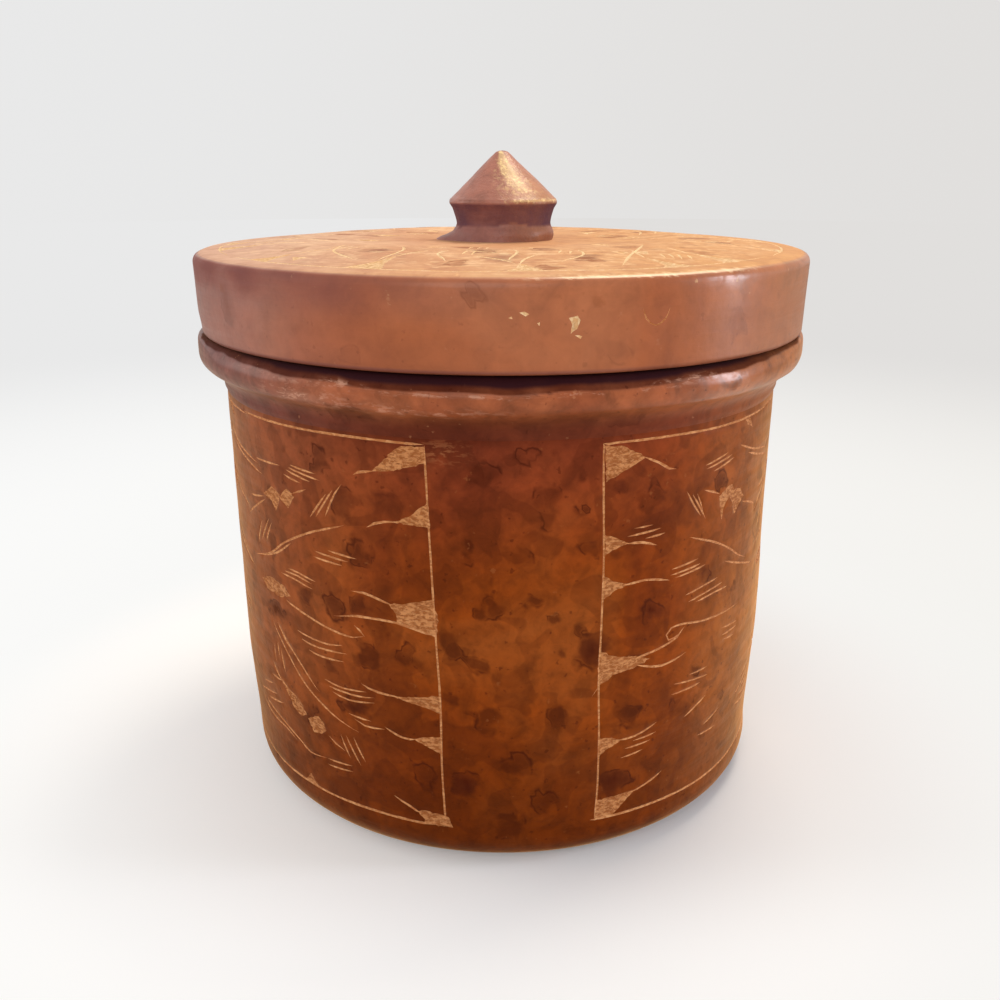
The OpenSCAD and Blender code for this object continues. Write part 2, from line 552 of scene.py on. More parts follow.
def rubbedShine(f, look, dull):
    # The shine is best where the clay was rubbed, and is lost in soot, in the painted shade and under the
    # collar's bead
    rubbed = f.times(f.attribute("rubbed"), f.span(f.grain(420, 3, 0.6), 0.38, 0.55, 0.1, 0.8))
    coat = f.times(f.plus(rubbed, look["coat"]), f.span(dull, 0.1, 0.7, 1.0, 0.0))
    if "shineFrom" in look:
        coat = f.times(coat, f.span(f.axes()[2], look["shineFrom"], look["shineTo"]))
    return coat


def burnishedClay(name, look):
    # Slip-coated clay, rubbed to a soft waxy shine and clouded by smoke
    f = Finish(name)
    cloud = f.grain(26, 4, 0.55, 0.6, look["cloudStretch"])
    colour = f.ramp(cloud, (0.3, look["deep"]), (0.5, look["body"]), (0.7, look["warm"]))
    colour = tintedByPlace(f, look, colour)
    if "topside" in look:
        colour = f.mix(f.attribute("topside"), colour, topsideColour(f, look))
    colour = mottled(f, look, colour)
    smoke = smokeRings(f, look)
    colour = f.mix(f.times(smoke, look["smokeShare"]), colour, look["smoke"])
    # Soot and painted shade: wide dark smoke patches, and shade painted in the cove under the collar's bead,
    # on the bead under the lid, on the lid's foot and on the knob's neck, laid on by place
    sootAndShade = f.times(f.attribute("sootAndShade"), f.span(f.grain(60, 4, 0.6), 0.25, 0.6, 0.55, 1.0))
    colour = f.mix(sootAndShade, colour, look["sootAndShade"])
    # Small dark pits and pale flecks
    pit = f.span(f.grain(620, 2, 0.5), 0.66, 0.74)
    colour = f.mix(f.times(pit, look["pits"]), colour, look["smoke"])
    fleck = f.span(f.grain(410, 3, 0.6, shift=(0.5, 0.2, 0.9)), 0.67, 0.76)
    colour = f.mix(f.times(fleck, look["flecks"]), colour, look["fleck"])
    # Scuffs and painted glints: short pale marks where the skin is scuffed, and painted highlights on the
    # knob and the lid's top, laid on by place over a faint pale glow
    wornAndGlint = f.span(f.grain(look["wearAndGlintScale"], 4, 0.7, 0.4, look["wearAndGlintStretch"]), 0.5, 0.62)
    wearAndGlint = f.times(f.attribute("wearAndGlint"), wornAndGlint)
    colour = f.mix(f.span(f.attribute("wearAndGlint"), 0.5, 1.0, 0, look["glow"]), colour, look["wornAndGlint"])
    colour = f.mix(f.times(wearAndGlint, 0.7), colour, look["wornAndGlint"])
    # Painted shade: the lid's shadow on the collar's bead, a hazy mauve band below the lid's top edge at the
    # left and a dark line along the lid's foot
    colour = f.mix(f.attribute("paintedShade"), colour, look["paintedShade"])
    # Streaks from turning, dents and grain; smoke, scuffs, painted glints, soot and painted shade make the
    # skin rougher
    streak = f.grain(34, 4, 0.65, 0.0, (1, 1, 14))
    rough = f.span(streak, 0.3, 0.7, look["rough"] - 0.07, look["rough"] + 0.08)
    rough = f.plus(f.plus(rough, f.times(smoke, 0.06)), f.times(wearAndGlint, 0.2))
    normal = f.relief((streak, look["streakDeep"]), (f.grain(150, 3, 0.5), look["dentDeep"]),
                      (f.grain(look["grainScale"], 3, 0.6), look["grainDeep"]))
    dull = f.calc("MAXIMUM", sootAndShade, f.attribute("paintedShade"))
    if "topside" in look:
        dull = f.calc("MAXIMUM", dull, f.times(f.attribute("topside"), 0.75))
    rough = f.plus(rough, f.span(dull, 0.2, 0.9, 0.0, 0.35))
    return f.skin(Base_Color=colour, Roughness=rough, Normal=normal, IOR=1.5,
                  Specular_IOR_Level=look["gloss"], Coat_Weight=rubbedShine(f, look, dull),
                  Coat_Roughness=look["coatRough"], Sheen_Weight=look["sheen"], Sheen_Roughness=0.3,
                  Sheen_Tint=look["sheenTint"])


def scrapedClay(name, pale, dark, dust, stretch):
    # The paler body under the skin, hatched by the strokes that scraped it bare
    f = Finish(name)
    strokes = f.span(f.grain(820, 3, 0.65, 0.3, stretch), 0.4, 0.6)
    bed = f.mix(f.grain(900, 3, 0.6), dark, pale)
    ridges = f.mix(f.grain(1500, 2, 0.6), pale, dust)
    normal = f.relief((strokes, 0.00012), (f.grain(1400, 3, 0.7), 0.00008))
    return f.skin(Base_Color=f.mix(strokes, bed, ridges), Roughness=0.72, Normal=normal, IOR=1.45,
                  Specular_IOR_Level=0.25)


def rawClay(name, body, shade, crumbs):
    # Unslipped clay inside and underneath, with the rings of the potter's fingers
    f = Finish(name)
    rings = f.node("ShaderNodeTexWave", {"Vector": f.coords, "Scale": 28.0, "Distortion": 1.2, "Detail": 2.0,
                                         "Detail Scale": 1.5}, bands_direction="Z").outputs["Fac"]
    colour = f.mix(f.grain(40, 4, 0.6), shade, body)
    colour = f.mix(f.span(f.grain(500, 3, 0.7), 0.55, 0.75, 0, 0.4), colour, crumbs)
    normal = f.relief((rings, 0.00035), (f.grain(700, 4, 0.7), 0.00015))
    return f.skin(Base_Color=colour, Roughness=0.82, Normal=normal, IOR=1.45)


# Looks: places and depths are in metres, shares run from 0 to 1, and each look starts from the one before
# On the wall the lower colour is painted shade towards the foot, the right colour is partly painted golden
# light and the left colour is partly a painted pale haze
wallLook = {
    "deep": "#763107", "body": "#883E0B", "warm": "#944C1B", "cloudStretch": (1, 1, 1),
    "upper": "#7A3622", "upperFrom": 0.068, "upperTo": 0.104, "upperShare": 0.7,
    "lower": "#662900", "lowerFrom": 0.050, "lowerTo": 0.006, "lowerShare": 0.8,
    "right": "#AA6E36", "rightFrom": 0.034, "rightTo": 0.068, "rightShare": 0.6,
    "left": "#965A3A", "leftFrom": -0.012, "leftShare": 0.5,
    "mottle": 0.5, "patchShare": 0.26, "smoke": "#401201", "smokeShare": 0.85, "smokeFill": 0.72,
    "sootAndShade": "#42140A", "paintedShade": "#42140A", "pits": 0.5, "fleck": "#A8683A", "flecks": 0.25,
    "wornAndGlint": "#B07048", "wearAndGlintScale": 330, "wearAndGlintStretch": (1, 1, 3.2), "glow": 0.1,
    "rough": 0.46, "gloss": 0.06, "coat": 0.015, "coatRough": 0.3, "sheen": 0.6, "sheenTint": "#FFC47C",
    "streakDeep": 0.00010, "dentDeep": 0.00022, "grainDeep": 0.00003, "grainScale": 900,
}
# On the collar the darker lower colour is partly painted shade in the cove under the bead, and the dark
# purple is the lid's painted shadow on the bead
collarLook = dict(
    wallLook, deep="#8A482A", body="#A65E3A", warm="#B46E4A", upperShare=0.0,
    lower="#7A3820", lowerFrom=0.1085, lowerTo=0.104, lowerShare=0.95, right="#A86A22",
    left="#703F3A", leftFrom=-0.014, leftShare=1.0, patchShare=0.0, smokeShare=0.5, smokeFill=0.9,
    paintedShade="#2A0C16", fleck="#C08660", flecks=0.35, wornAndGlint="#D2A088", glow=0.15,
    rough=0.42, gloss=0.1, coat=0.25, coatRough=0.24, sheen=0.15, shineFrom=0.1055, shineTo=0.1105,
    streakDeep=0.00006)
# On the lid the dark brown is painted shade on its foot, with a dark mark at the left, the mauve is a
# painted shade band below its edge, and the mauve left side is partly a painted haze
lidLook = dict(
    collarLook, deep="#914B27", body="#A35931", warm="#AD6741", cloudStretch=(1, 1, 0.4), lowerShare=0.0,
    right="#A16738", rightFrom=0.02, left="#8E5850", leftShare=0.8, mottle=0.2, smokeShare=0.26,
    sootAndShade="#6B3420", paintedShade="#7C4844", pits=0.2, fleck="#C8906A", flecks=0.15, gloss=0.3, sheen=0.0,
    streakDeep=0.00008)
# The lid's top colours are painted paler than its side for the warm light from above and a grazing sheen,
# and its pale scuff colour and strong glow paint glints
topLook = dict(
    lidLook, topDeep="#BC825C", topside="#CC9871", topWarm="#DCB088", topRight="#CA9562", topLeft="#CEA894",
    mottle=0.3, smoke="#8A4A22", smokeShare=0.8, fleck="#F0C890", flecks=0.4, wornAndGlint="#FFE6BC",
    wearAndGlintScale=260, wearAndGlintStretch=(1, 2.6, 2.6), glow=0.6)
# On the knob the golden right side is partly painted light, the pale yellow and its glow paint the glint on
# the cone, and the plum is the neck's dark slip painted darker for the shade under the rim
knobLook = dict(
    lidLook, deep="#965E4E", body="#A86E5E", warm="#B67E6C", left="#A46A60",
    right="#AC7038", rightFrom=-0.002, rightTo=0.011, rightShare=0.85, mottle=0.3, smoke="#52231A",
    smokeShare=0.3, sootAndShade="#5E3A46", wornAndGlint="#FFE4A6", wearAndGlintScale=1000, wearAndGlintStretch=(1, 1, 1), glow=0.4,
    coatRough=0.3, dentDeep=0.00030, grainDeep=0.00016, grainScale=1500)

scraped = scrapedClay("scraped clay", "#BA7440", "#7C3E16", "#D89E6A", (1, 1, 2))
scratched = scrapedClay("scratched clay", "#C98450", "#A66438", "#E6B27E", (1, 1, 2))
# The lid's scraped and scratched marks are paler and yellower than the wall's, partly the bare clay and
# partly painted glints
topScrapedAndGlint = scrapedClay("scraped clay of the lid's top with painted glints", "#ECC08C", "#C48E5A", "#FFE8C0", (1, 3, 1))
topScratchedAndGlint = scrapedClay("scratched clay of the lid's top with painted glints", "#F4D4A0", "#E0B07C", "#FFEFCC", (1, 3, 1))
raw = rawClay("raw clay", "#B06C43", "#8F4F2D", "#D19A6C")
wallSkin = burnishedClay("burnished wall", wallLook)
collarSkin = burnishedClay("burnished collar", collarLook)
lidSkin = burnishedClay("burnished lid", lidLook)
topSkin = burnishedClay("burnished lid top with painted light", topLook)
knobSkin = burnishedClay("burnished knob", knobLook)
print("materials mixed")


# Drawing on the wall: arc along the wall from the front, and height, both in mm

strokes = {  # width, depth, how blunt its two ends are, and the step between its points
    "border": (0.44, 0.12, (0.8, 0.8), 2.2), "tails": (0.54, 0.15, (0.8, 0.1), 1.6),
    "dashes": (0.43, 0.12, (0.3, 0.3), 1.8), "leaves": (0.48, 0.14, (0.4, 0.2), 1.6),
    "top": (0.5, 0.12, (0.8, 0.5), 2.4), "bottom": (0.62, 0.12, (0.8, 0.5), 2.4),
}
frameSteps = (0, 0.3, 0.6, 1.02)  # a frame line's points, as shares of the way to the panel's middle
frameWander = 0.25  # and how far it waves up and down
rightHand = {
    # The half of a panel whose border stands on its right, read left of the front
    "middle": -panelPitch / 2 + stripMiddle,
    "border": [(-15.5, 101.2), (-14.8, 80), (-14.0, 60), (-13.2, 42), (-13.2, 25), (-12.7, 10.8)],
    "thorns": [
        [(-15.4, 101), (-20.5, 100.8), (-22.7, 99.2), (-27.3, 94.7), (-23, 95.3), (-15.2, 97.6)],
        [(-15, 89.2), (-18.2, 86.5), (-22.5, 84.1), (-14.6, 83.7)],
        [(-14.6, 67.6), (-20.5, 66), (-24.5, 65.3), (-22.8, 63), (-22.8, 61.2), (-18.2, 60.3),
         (-13.9, 58.9), (-13.2, 62.8)],
        [(-13.1, 45), (-16.8, 44.2), (-24, 43.1), (-16.4, 41.6), (-13.1, 40.5)],
        [(-13, 34.8), (-18.2, 33.9), (-20, 33.2), (-16.4, 31.8), (-13.1, 30.1)],
        [(-11, 10.8), (-12, 13.6), (-14, 14.1), (-17.3, 14.5), (-19.3, 13.9), (-17.7, 12), (-18, 11)],
    ],
    "tails": [
        [(-26.5, 94.9), (-30.5, 94.2), (-32, 93.4)],
        [(-22, 84.4), (-25, 84), (-27.3, 83.3), (-29.3, 82.1)],
        [(-23.8, 65.2), (-27.3, 66.2), (-30.5, 66.9), (-34.2, 66.7)],
        [(-14.5, 59.2), (-22.8, 61.2), (-30.5, 61.2), (-34, 60.8), (-39.5, 59.5)],
        [(-23, 43.2), (-27.7, 43.4), (-30.5, 43.9), (-32.6, 44.6)],
        [(-19, 33.2), (-22.3, 33.2), (-26.8, 35)],
        [(-18.6, 13.3), (-21.4, 15), (-25.5, 16.9)],
    ],
    "dashes": [
        [(-50.5, 92.6), (-42.3, 92)], [(-51, 91.9), (-41, 90.7)], [(-52, 91.2), (-44, 89.9)],
        [(-53, 90), (-47, 89)],
        [(-35, 91), (-37, 88.5), (-40.2, 82.6)], [(-37.6, 89.2), (-43, 82)], [(-39.5, 88), (-44.8, 81.6)],
        [(-40, 75), (-32, 74.5)], [(-44, 74), (-34.3, 73.4)], [(-44.5, 72.6), (-36, 72.2)],
        [(-54, 67.2), (-50, 67.3), (-44.2, 66.5)], [(-55.5, 66.2), (-50, 66.4), (-45.5, 65.6)],
        [(-57, 65.3), (-52, 65.3), (-45.3, 64.4)],
        [(-52, 52.4), (-46, 52), (-41, 52.1), (-37, 52.9)], [(-50.5, 50.7), (-45, 50.3), (-35.8, 51)],
        [(-48.2, 48.7), (-44, 48.3), (-36.8, 48.8)],
        [(-43.3, 42.7), (-38, 42.1), (-31, 42.7)], [(-42.2, 41.3), (-34, 41.1), (-29, 41.7)],
        [(-41, 40.2), (-36, 39.5), (-29, 40.4)], [(-36.6, 35.9), (-30, 35.5)],
        [(-35, 35), (-31.8, 34), (-26.6, 34.3)],
        [(-39.3, 29.5), (-36.8, 23.6)], [(-37.7, 29.8), (-33.9, 22.5)], [(-35.5, 30), (-32.5, 23.9)],
        [(-44.5, 20.9), (-36.4, 21.6)], [(-44.5, 19.2), (-36.4, 20)],
        [(-59.6, 76.9), (-63, 71.2)], [(-60.7, 77.6), (-65.3, 71)], [(-64.4, 76.2), (-67.5, 69.6)],
        [(-63.2, 45), (-62.5, 40)], [(-61.2, 46.5), (-60.7, 42)], [(-59.8, 45), (-58.2, 38.7)],
        [(-65, 91.2), (-54, 91.7)], [(-59.5, 50.5), (-55, 46.2)],
    ],
    "leaves": [
        [(-35, 81.7), (-45, 78.1), (-54.5, 73.4), (-61.2, 69), (-70, 66)],
        [(-52, 73.9), (-58, 70), (-66, 67)],
        [(-50.3, 86), (-47.5, 87.1), (-45.5, 87.9)], [(-62.3, 82.6), (-66.6, 81.7), (-70, 81.2)],
        [(-62, 81.9), (-68, 78.5), (-72.8, 75.6)],
        [(-56, 58.9), (-50, 57.8), (-40, 56), (-34, 55.6), (-31, 56.4)],
        [(-31, 56.4), (-32.2, 57.8), (-33.7, 58.6)],
        [(-63, 51.2), (-56.2, 44.6), (-50, 39.1), (-41, 34.1), (-33.6, 31.6)],
        [(-60.7, 51.5), (-51.6, 44.2), (-45.3, 38.7)],
        [(-64.8, 39.8), (-60.7, 36.4), (-55.3, 34.3)], [(-66, 35.7), (-60, 36)],
        [(-43.4, 27.7), (-41, 26.4), (-38.2, 25.1)], [(-72.3, 31.1), (-65.7, 33)],
        [(-76, 27.6), (-69.8, 29.3), (-63.9, 30.7)], [(-70.3, 27.3), (-60.7, 29.5)],
        [(-72.5, 25.9), (-62.5, 24.1), (-54.4, 21.8), (-50.7, 20.2), (-44.5, 20.9)],
        [(-74.4, 24.1), (-66.6, 22.7), (-60.7, 22.5), (-56.2, 20.9)],
    ],
    "patches": [
        [(-55, 84.2), (-52, 86.8), (-49.4, 85.4), (-51.8, 82.2)],
        [(-54.8, 84.8), (-58, 86), (-62.3, 83.4), (-58.5, 82.4), (-57, 80.4), (-55.6, 82.4)],
        [(-61.1, 37.2), (-57.1, 35.2), (-53.1, 34.2), (-50.4, 30.6), (-52.6, 29.6), (-55.3, 30.6),
         (-56.6, 32.8), (-58.6, 34.6)],
        [(-50.1, 29.9), (-46.1, 32), (-44.4, 30.7), (-43.8, 28.9), (-45.6, 27.3), (-48.3, 26.7)],
        [(-54, 11), (-51.5, 13.8), (-49, 11)],
        [(-67, 61), (-62, 62.8), (-56, 62.4), (-53.5, 60.4), (-58, 58.8), (-64, 58.9)],
    ],
    "top": 101.4, "bottom": 10.9,
}
leftHand = {
    # The half whose border stands on its left, read right of the front
    "middle": panelPitch / 2 + stripMiddle,
    "border": [(21.1, 101.3), (21.5, 90), (22, 76), (21.9, 60), (21.7, 48), (22.3, 33), (22.6, 20),
               (22.3, 10.8)],
    "thorns": [
        [(21.4, 100.8), (26, 100.2), (31, 97.4), (27.8, 95.8), (22, 93)],
        [(21.9, 81.6), (25, 80.4), (27.8, 78.9), (24, 77.9), (22.2, 76.9)],
        [(22, 72.2), (24.5, 70.7), (28, 69.4), (24.3, 68.3), (22.2, 66.8)],
        [(21.8, 54.7), (26.7, 52.6), (30.6, 52.1), (34.4, 50.6), (30, 49.1), (25.6, 48.6), (21.8, 46.5),
         (21.4, 50)],
        [(22.4, 33.2), (25.5, 32.6), (27.8, 31.3), (24.8, 30), (22.6, 28.2)],
        [(22.5, 16.3), (27.8, 16.4), (33.2, 16.7), (29.6, 13.8), (26.7, 11.2), (22.4, 10.8)],
    ],
    "tails": [
        [(30.5, 97.5), (34.4, 95.8), (37.2, 94.1), (39.4, 93.6)],
        [(27.2, 78.8), (31.1, 78.6), (35.2, 77.2)],
        [(26.8, 69.4), (32.2, 69.8), (36.1, 69.1), (39.1, 68.3)],
        [(30.5, 51.5), (36.7, 52.4), (42, 53.9), (44.4, 56)], [(31, 49.6), (37.8, 48), (45.4, 49.3)],
        [(27, 31.5), (31.5, 31.6), (37.6, 33.6)], [(31.5, 16), (35.6, 17.2), (40.6, 19.2)],
        [(21.8, 46.3), (20.2, 43.8)],
    ],
    "dashes": [
        [(28.9, 82), (33.9, 82.1)], [(27.4, 80.4), (36.1, 81)], [(31.8, 79.3), (37.2, 79.7)],
        [(37, 78.8), (38.8, 78.3)],
        [(39.4, 70.7), (47.8, 71.4)], [(39, 69.4), (48.6, 70)], [(40.4, 68.5), (50.4, 69.3)],
        [(31, 30.3), (37.6, 30.9)], [(28.9, 28.7), (36.1, 29.2)], [(28, 26.4), (34.2, 27.2)],
        [(48.3, 92.8), (56.6, 94.2)], [(48.6, 91.9), (58.4, 93.4)], [(51.1, 90.9), (59.4, 92.6)],
        [(42.8, 88), (45, 84.6), (47.8, 81.3)], [(44.6, 87), (49.4, 80.4)], [(46.1, 86.9), (48.3, 82.5)],
        [(44, 63.5), (50, 64.3), (55.6, 64.7)], [(45, 61.6), (51, 62.4), (57.8, 62.9)],
        [(47.6, 60.9), (54, 61.4), (60, 61.2)],
        [(58.4, 50.9), (66.4, 50)], [(58.6, 48.9), (66.4, 48.8)], [(59.2, 47.6), (65, 46.9)],
        [(46.7, 42.9), (53.3, 42.8)], [(41.7, 42), (48, 41.2), (53.8, 40.5)],
        [(41.2, 39.4), (51.1, 39.4)],
        [(52, 24.4), (60, 23.8)], [(54, 26.6), (61, 28.6)],
    ],
    "leaves": [
        [(43.4, 54.8), (41.2, 54), (39.4, 53.8), (38.7, 55.2), (40, 56.6), (43.5, 56.7), (50, 55.6),
         (58, 55), (66, 54.7)],
        [(48.4, 87.2), (51.5, 86.2), (54.4, 85)], [(65.2, 80.6), (70, 79.2), (74, 77.6)],
        [(61.7, 94.9), (70, 92.2), (82, 90)], [(66.7, 92), (73, 90.2), (84, 87.8)],
        [(44.4, 77.2), (53.3, 73.9), (60, 70.5), (65, 67.4), (70, 65.2)],
        [(58.3, 67.8), (65.6, 65.2), (74.4, 62.4)], [(46, 31.7), (50, 33.6), (54, 35)],
    ],
    "patches": [
        [(53.8, 84.6), (56.5, 85.8), (58.9, 86.4), (60.2, 84.8), (63.6, 84.3), (65.5, 81.9), (61, 78.7),
         (59.8, 81.8), (58, 83.7), (56.3, 81.8), (55.5, 78.6), (54.3, 82.7)],
        [(62.6, 101.6), (66, 100.2), (68, 97.8), (64.6, 99)],
    ],
    "top": 101.0, "bottom": 10.9,
}


def moved(points, shift):
    return [(x + shift, z) for x, z in points]


def drawPanel(middle, number):
    # One framed panel: the two halves, their frame lines and what is drawn in them
    cuts = []
    for side, hand in enumerate((leftHand, rightHand)):
        shift = middle - hand["middle"]
        seed = number * 97 + side * 31
        cuts.append(scratch(moved(hand["border"], shift), *strokes["border"], seed))
        cuts += [scrape(moved(p, shift), seed=seed) for p in hand["thorns"] + hand["patches"]]
        for kind in ("tails", "dashes", "leaves"):
            cuts += [scratch(moved(p, shift), *strokes[kind], seed) for p in hand[kind]]
        outer = hand["border"][0][0] + shift
        for kind in ("top", "bottom"):
            run = [(outer + (middle - outer) * t, hand[kind] + frameWander * math.sin(5 * t + number))
                   for t in frameSteps]
            cuts.append(scratch(run, *strokes[kind], seed))
    return cuts


# Jar

jar = {
    "wall": 6.8, "footRound": 9.0, "footDraw": 0.8, "footDrawHeight": 34.0, "innerRound": 4.0,
    "neckRadius": 67.6, "underStep": 0.6,
    "carvedFrom": 10.0, "carvedTo": 105.0,  # heights between which the wall's sheet is carved
    "rowPitch": 1.15, "swell": 0.16, "dent": 0.05, "belly": 0.7, "heel": 0.9, "tuck": 0.65,
    "seed": 5, "drawSeed": 23, "cutSeed": 11,
    "smoke": [  # arc, height, size, squash, turn
        (-4, 95.5, 8, 0.9, 20), (9, 90, 9, 1.1, 0), (33, 88, 8, 1.6, 0), (17, 87, 6, 0.8, 0),
        (-7, 80, 5, 1.9, 15), (3.5, 78, 9, 0.55, 0), (19, 78, 8, 0.8, 0), (7, 67.5, 4, 0.7, 30),
        (11, 65, 6, 0.6, 0), (35, 62, 9, 0.7, -20), (-11, 57, 8, 1, 0), (20, 55, 12, 0.85, 0),
        (-5, 53, 7, 0.9, 0), (-21, 54, 7, 1, 40), (-30, 52, 7, 1, 0), (-39, 62, 9, 0.8, -15),
        (-31, 75, 9, 0.9, 30), (-35, 38, 14, 0.45, 0), (-11, 44, 7, 0.9, 0), (-17, 24, 9, 1, 0),
        (-8, 23, 10, 0.9, 0), (27, 20.5, 12, 0.75, 0), (3, 28, 8, 1, 0), (2, 12.5, 9, 0.9, 0),
        (-3, 40, 8, 1.4, 0), (-60, 55, 12, 0.5, 0), (-48, 62, 9, 0.8, 0), (44, 35, 9, 0.7, -20),
        (-34, 87, 10, 0.7, 0), (12, 40, 7, 1.1, 0), (10, 18, 9, 0.7, 0), (-2, 66, 6, 0.8, 0),
        (54, 89, 7, 0.9, 0), (60, 33, 6, 0.8, 0), (30, 37, 8, 0.8, 0), (48, 44, 6, 0.6, 0),
        (5, 100, 7, 0.5, 0),
    ],
    "randomSmoke": [  # how many, and the ranges of arc, height, size, squash and turn
        (46, ((75, 255), (12, 100), (5, 12), (0.5, 1.4), (-40, 40))),
        (70, ((0, 2 * math.pi * jarRadius), (11, 98), (2.5, 6), (0.5, 1.5), (-60, 60))),
    ],
    "sootAndShade": [(20, 55.5, 10, 0.9, 0), (35, 62, 8, 0.6, -20), (26, 20.5, 13, 0.7, 0), (-35, 38.4, 12, 0.4, 0),
             (-60, 54.5, 11, 0.5, 0), (-8, 23, 8, 0.8, 0), (25, 91.5, 9, 0.4, 15), (-25, 89, 9, 0.4, 0)],
}


def handmade(angles, height, swell, dent, seed=jar["seed"]):
    # How far the potter's hands left the surface from a true circle, in mm
    around = turned(angles, jarRadius, height)
    return swell * swells(around, 75, seed) + dent * swells(around, 17, seed + 1)


def wallRadius(height):
    drawn = 1 - np.clip((height - jar["footRound"]) / (jar["footDrawHeight"] - jar["footRound"]), 0, 1)
    return jarRadius - jar["footDraw"] * drawn


def lopsided(angles, height):
    # The jar bellies out at the right, and its foot is pushed in at the left
    swollen = jar["belly"] * bump(height, 46, 18) + jar["heel"] * bump(height, 4, 5)
    right = np.clip(np.sin(angles), 0, 1) * swollen
    left = np.clip(-np.sin(angles), 0, 1) * jar["tuck"] * (1 - ease(height, 12, 36))
    return (right - left) * ease(height, 0, 2)


def wallSurface(angles, height):
    wave = handmade(angles, height, jar["swell"], jar["dent"]) * ease(height, 0, 9)
    return wallRadius(height) + wave + lopsided(angles, height)


def shadeUnder(arc):
    # How much painted shade, with some soot, lies under the bead: most at the front and at the back
    return 0.12 + 0.5 * bump(arc, -4, 40) + 0.3 * bump(np.abs(arc), 219, 60)


def wallSection():
    # The rest of the wall's section, from the top of the carved sheet over the neck and back under the foot
    bore = jarRadius - jar["wall"]
    slab = slabBox[1].x / mm
    floor = slabBox[1].z / mm
    lip = (jar["neckRadius"] - bore) / 2
    top = wallBox[1].z / mm
    inRound, outRound = jar["innerRound"], jar["footRound"]
    skinTop = densify([(jarRadius, jar["carvedTo"]), (jarRadius, seatHeight)], 4)
    neck = ([(jarRadius, seatHeight), (jar["neckRadius"], seatHeight), (jar["neckRadius"], top - lip)]
            + arcPoints(bore + lip, top - lip, lip, 0, 90, 5)[1:])
    inner = (arcPoints(bore + lip, top - lip, lip, 90, 180, 5)
             + densify([(bore, top - lip), (bore, floor + inRound)], 6)[1:]
             + arcPoints(bore - inRound, floor + inRound, inRound, 360, 270, 6)[1:]
             + [(slab, floor), (slab, 0), (wallRadius(0) - outRound - jar["underStep"], 0)])
    foot = ([inner[-1]] + arcPoints(wallRadius(0) - outRound, outRound, outRound, 270, 360, 12)
            + [(wallRadius(jar["carvedFrom"]), jar["carvedFrom"])])
    return bore + lip, ((skinTop, skinPlace), (neck, skinPlace), (inner, rawPlace), (foot, skinPlace))


def hiddenSpots():
    # Random smoke spots behind, and small ones all round
    draw = np.random.default_rng(jar["drawSeed"])
    return [tuple(draw.uniform(low, high) for low, high in ranges)
            for count, ranges in jar["randomSmoke"] for _ in range(count)]


def buildWall():
    clay = emptyClay()
    circle = 2 * math.pi * jarRadius
    rows = int((jar["carvedTo"] - jar["carvedFrom"]) / jar["rowPitch"])
    sheet, rim = blankSheet(jarRadius, jar["carvedFrom"], jar["carvedTo"], rows)
    cuts = []
    for number in range(panelCount):
        cuts += drawPanel(stripMiddle + panelPitch * (number - 0.5), number)
    flat, triangles, depth, kinds = carve(sheet, rim, cuts, jar["cutSeed"])
    angles = flat[:, 0] / jarRadius
    addSheet(clay, turned(angles, wallSurface(angles, flat[:, 1]) - depth, flat[:, 1]), triangles, kinds)
    around = ringAngles()
    crest, profiles = wallSection()
    for profile, finish in profiles:
        rings = []
        for radius, height in profile:
            outside = radius > crest + 0.5
            wave = handmade(around, height, jar["swell"], jar["dent"]) * ease(height, 0, 9) * outside
            wave = wave + lopsided(around, height) * outside
            wave = wave * (1 - 0.8 * (height > seatHeight - 0.01))
            rings.append(turned(around, radius + wave, height))
        addRows(clay, rings, finish)
    hidden = hiddenSpots()

    def stains(place):
        flat = unrolled(place)
        sootAndShade = spotField(flat, jar["sootAndShade"], circle) * 0.85
        # Painted shade, with some soot, in the cove under the collar's bead
        under = ease(flat[:, 1], 98.5, 104) * shadeUnder(flat[:, 0])
        outside = np.hypot(place[:, 0], place[:, 1]) > crest
        wearAndGlint = 0.7 * bump(flat[:, 0], -12, 5) * bump(flat[:, 1], 100, 2.2)
        return {"smoke": spotField(flat, jar["smoke"] + hidden, circle) * outside,
                "sootAndShade": np.maximum(sootAndShade, under) * outside, "wearAndGlint": wearAndGlint}

    materials = [wallSkin, scraped, raw, scratched]
    return fire("jarWall", clay, materials, "jar", "jar_wall", 30, stains)


def buildFloor():
    # The slab is of raw clay alone, so all its faces take the first material
    clay = emptyClay()
    slab, thick = slabBox[1].x / mm, slabBox[1].z / mm
    around = ringAngles(192)
    profile = (densify([(6, thick), (slab - 0.5, thick)], 5) + [(slab, thick - 0.5), (slab, 0.4)]
               + densify([(slab - 0.4, 0), (6, 0)], 8))
    rings = [turned(around, r, z) for r, z in profile]
    addCap(clay, rings[0], (0, 0, thick), 0)
    addRows(clay, rings, 0)
    addCap(clay, rings[-1], (0, 0, 0), 0)
    return fire("jarFloor", clay, [raw], "jar", "jar_floor", 30)


# Collar: the coil on which the lid sits

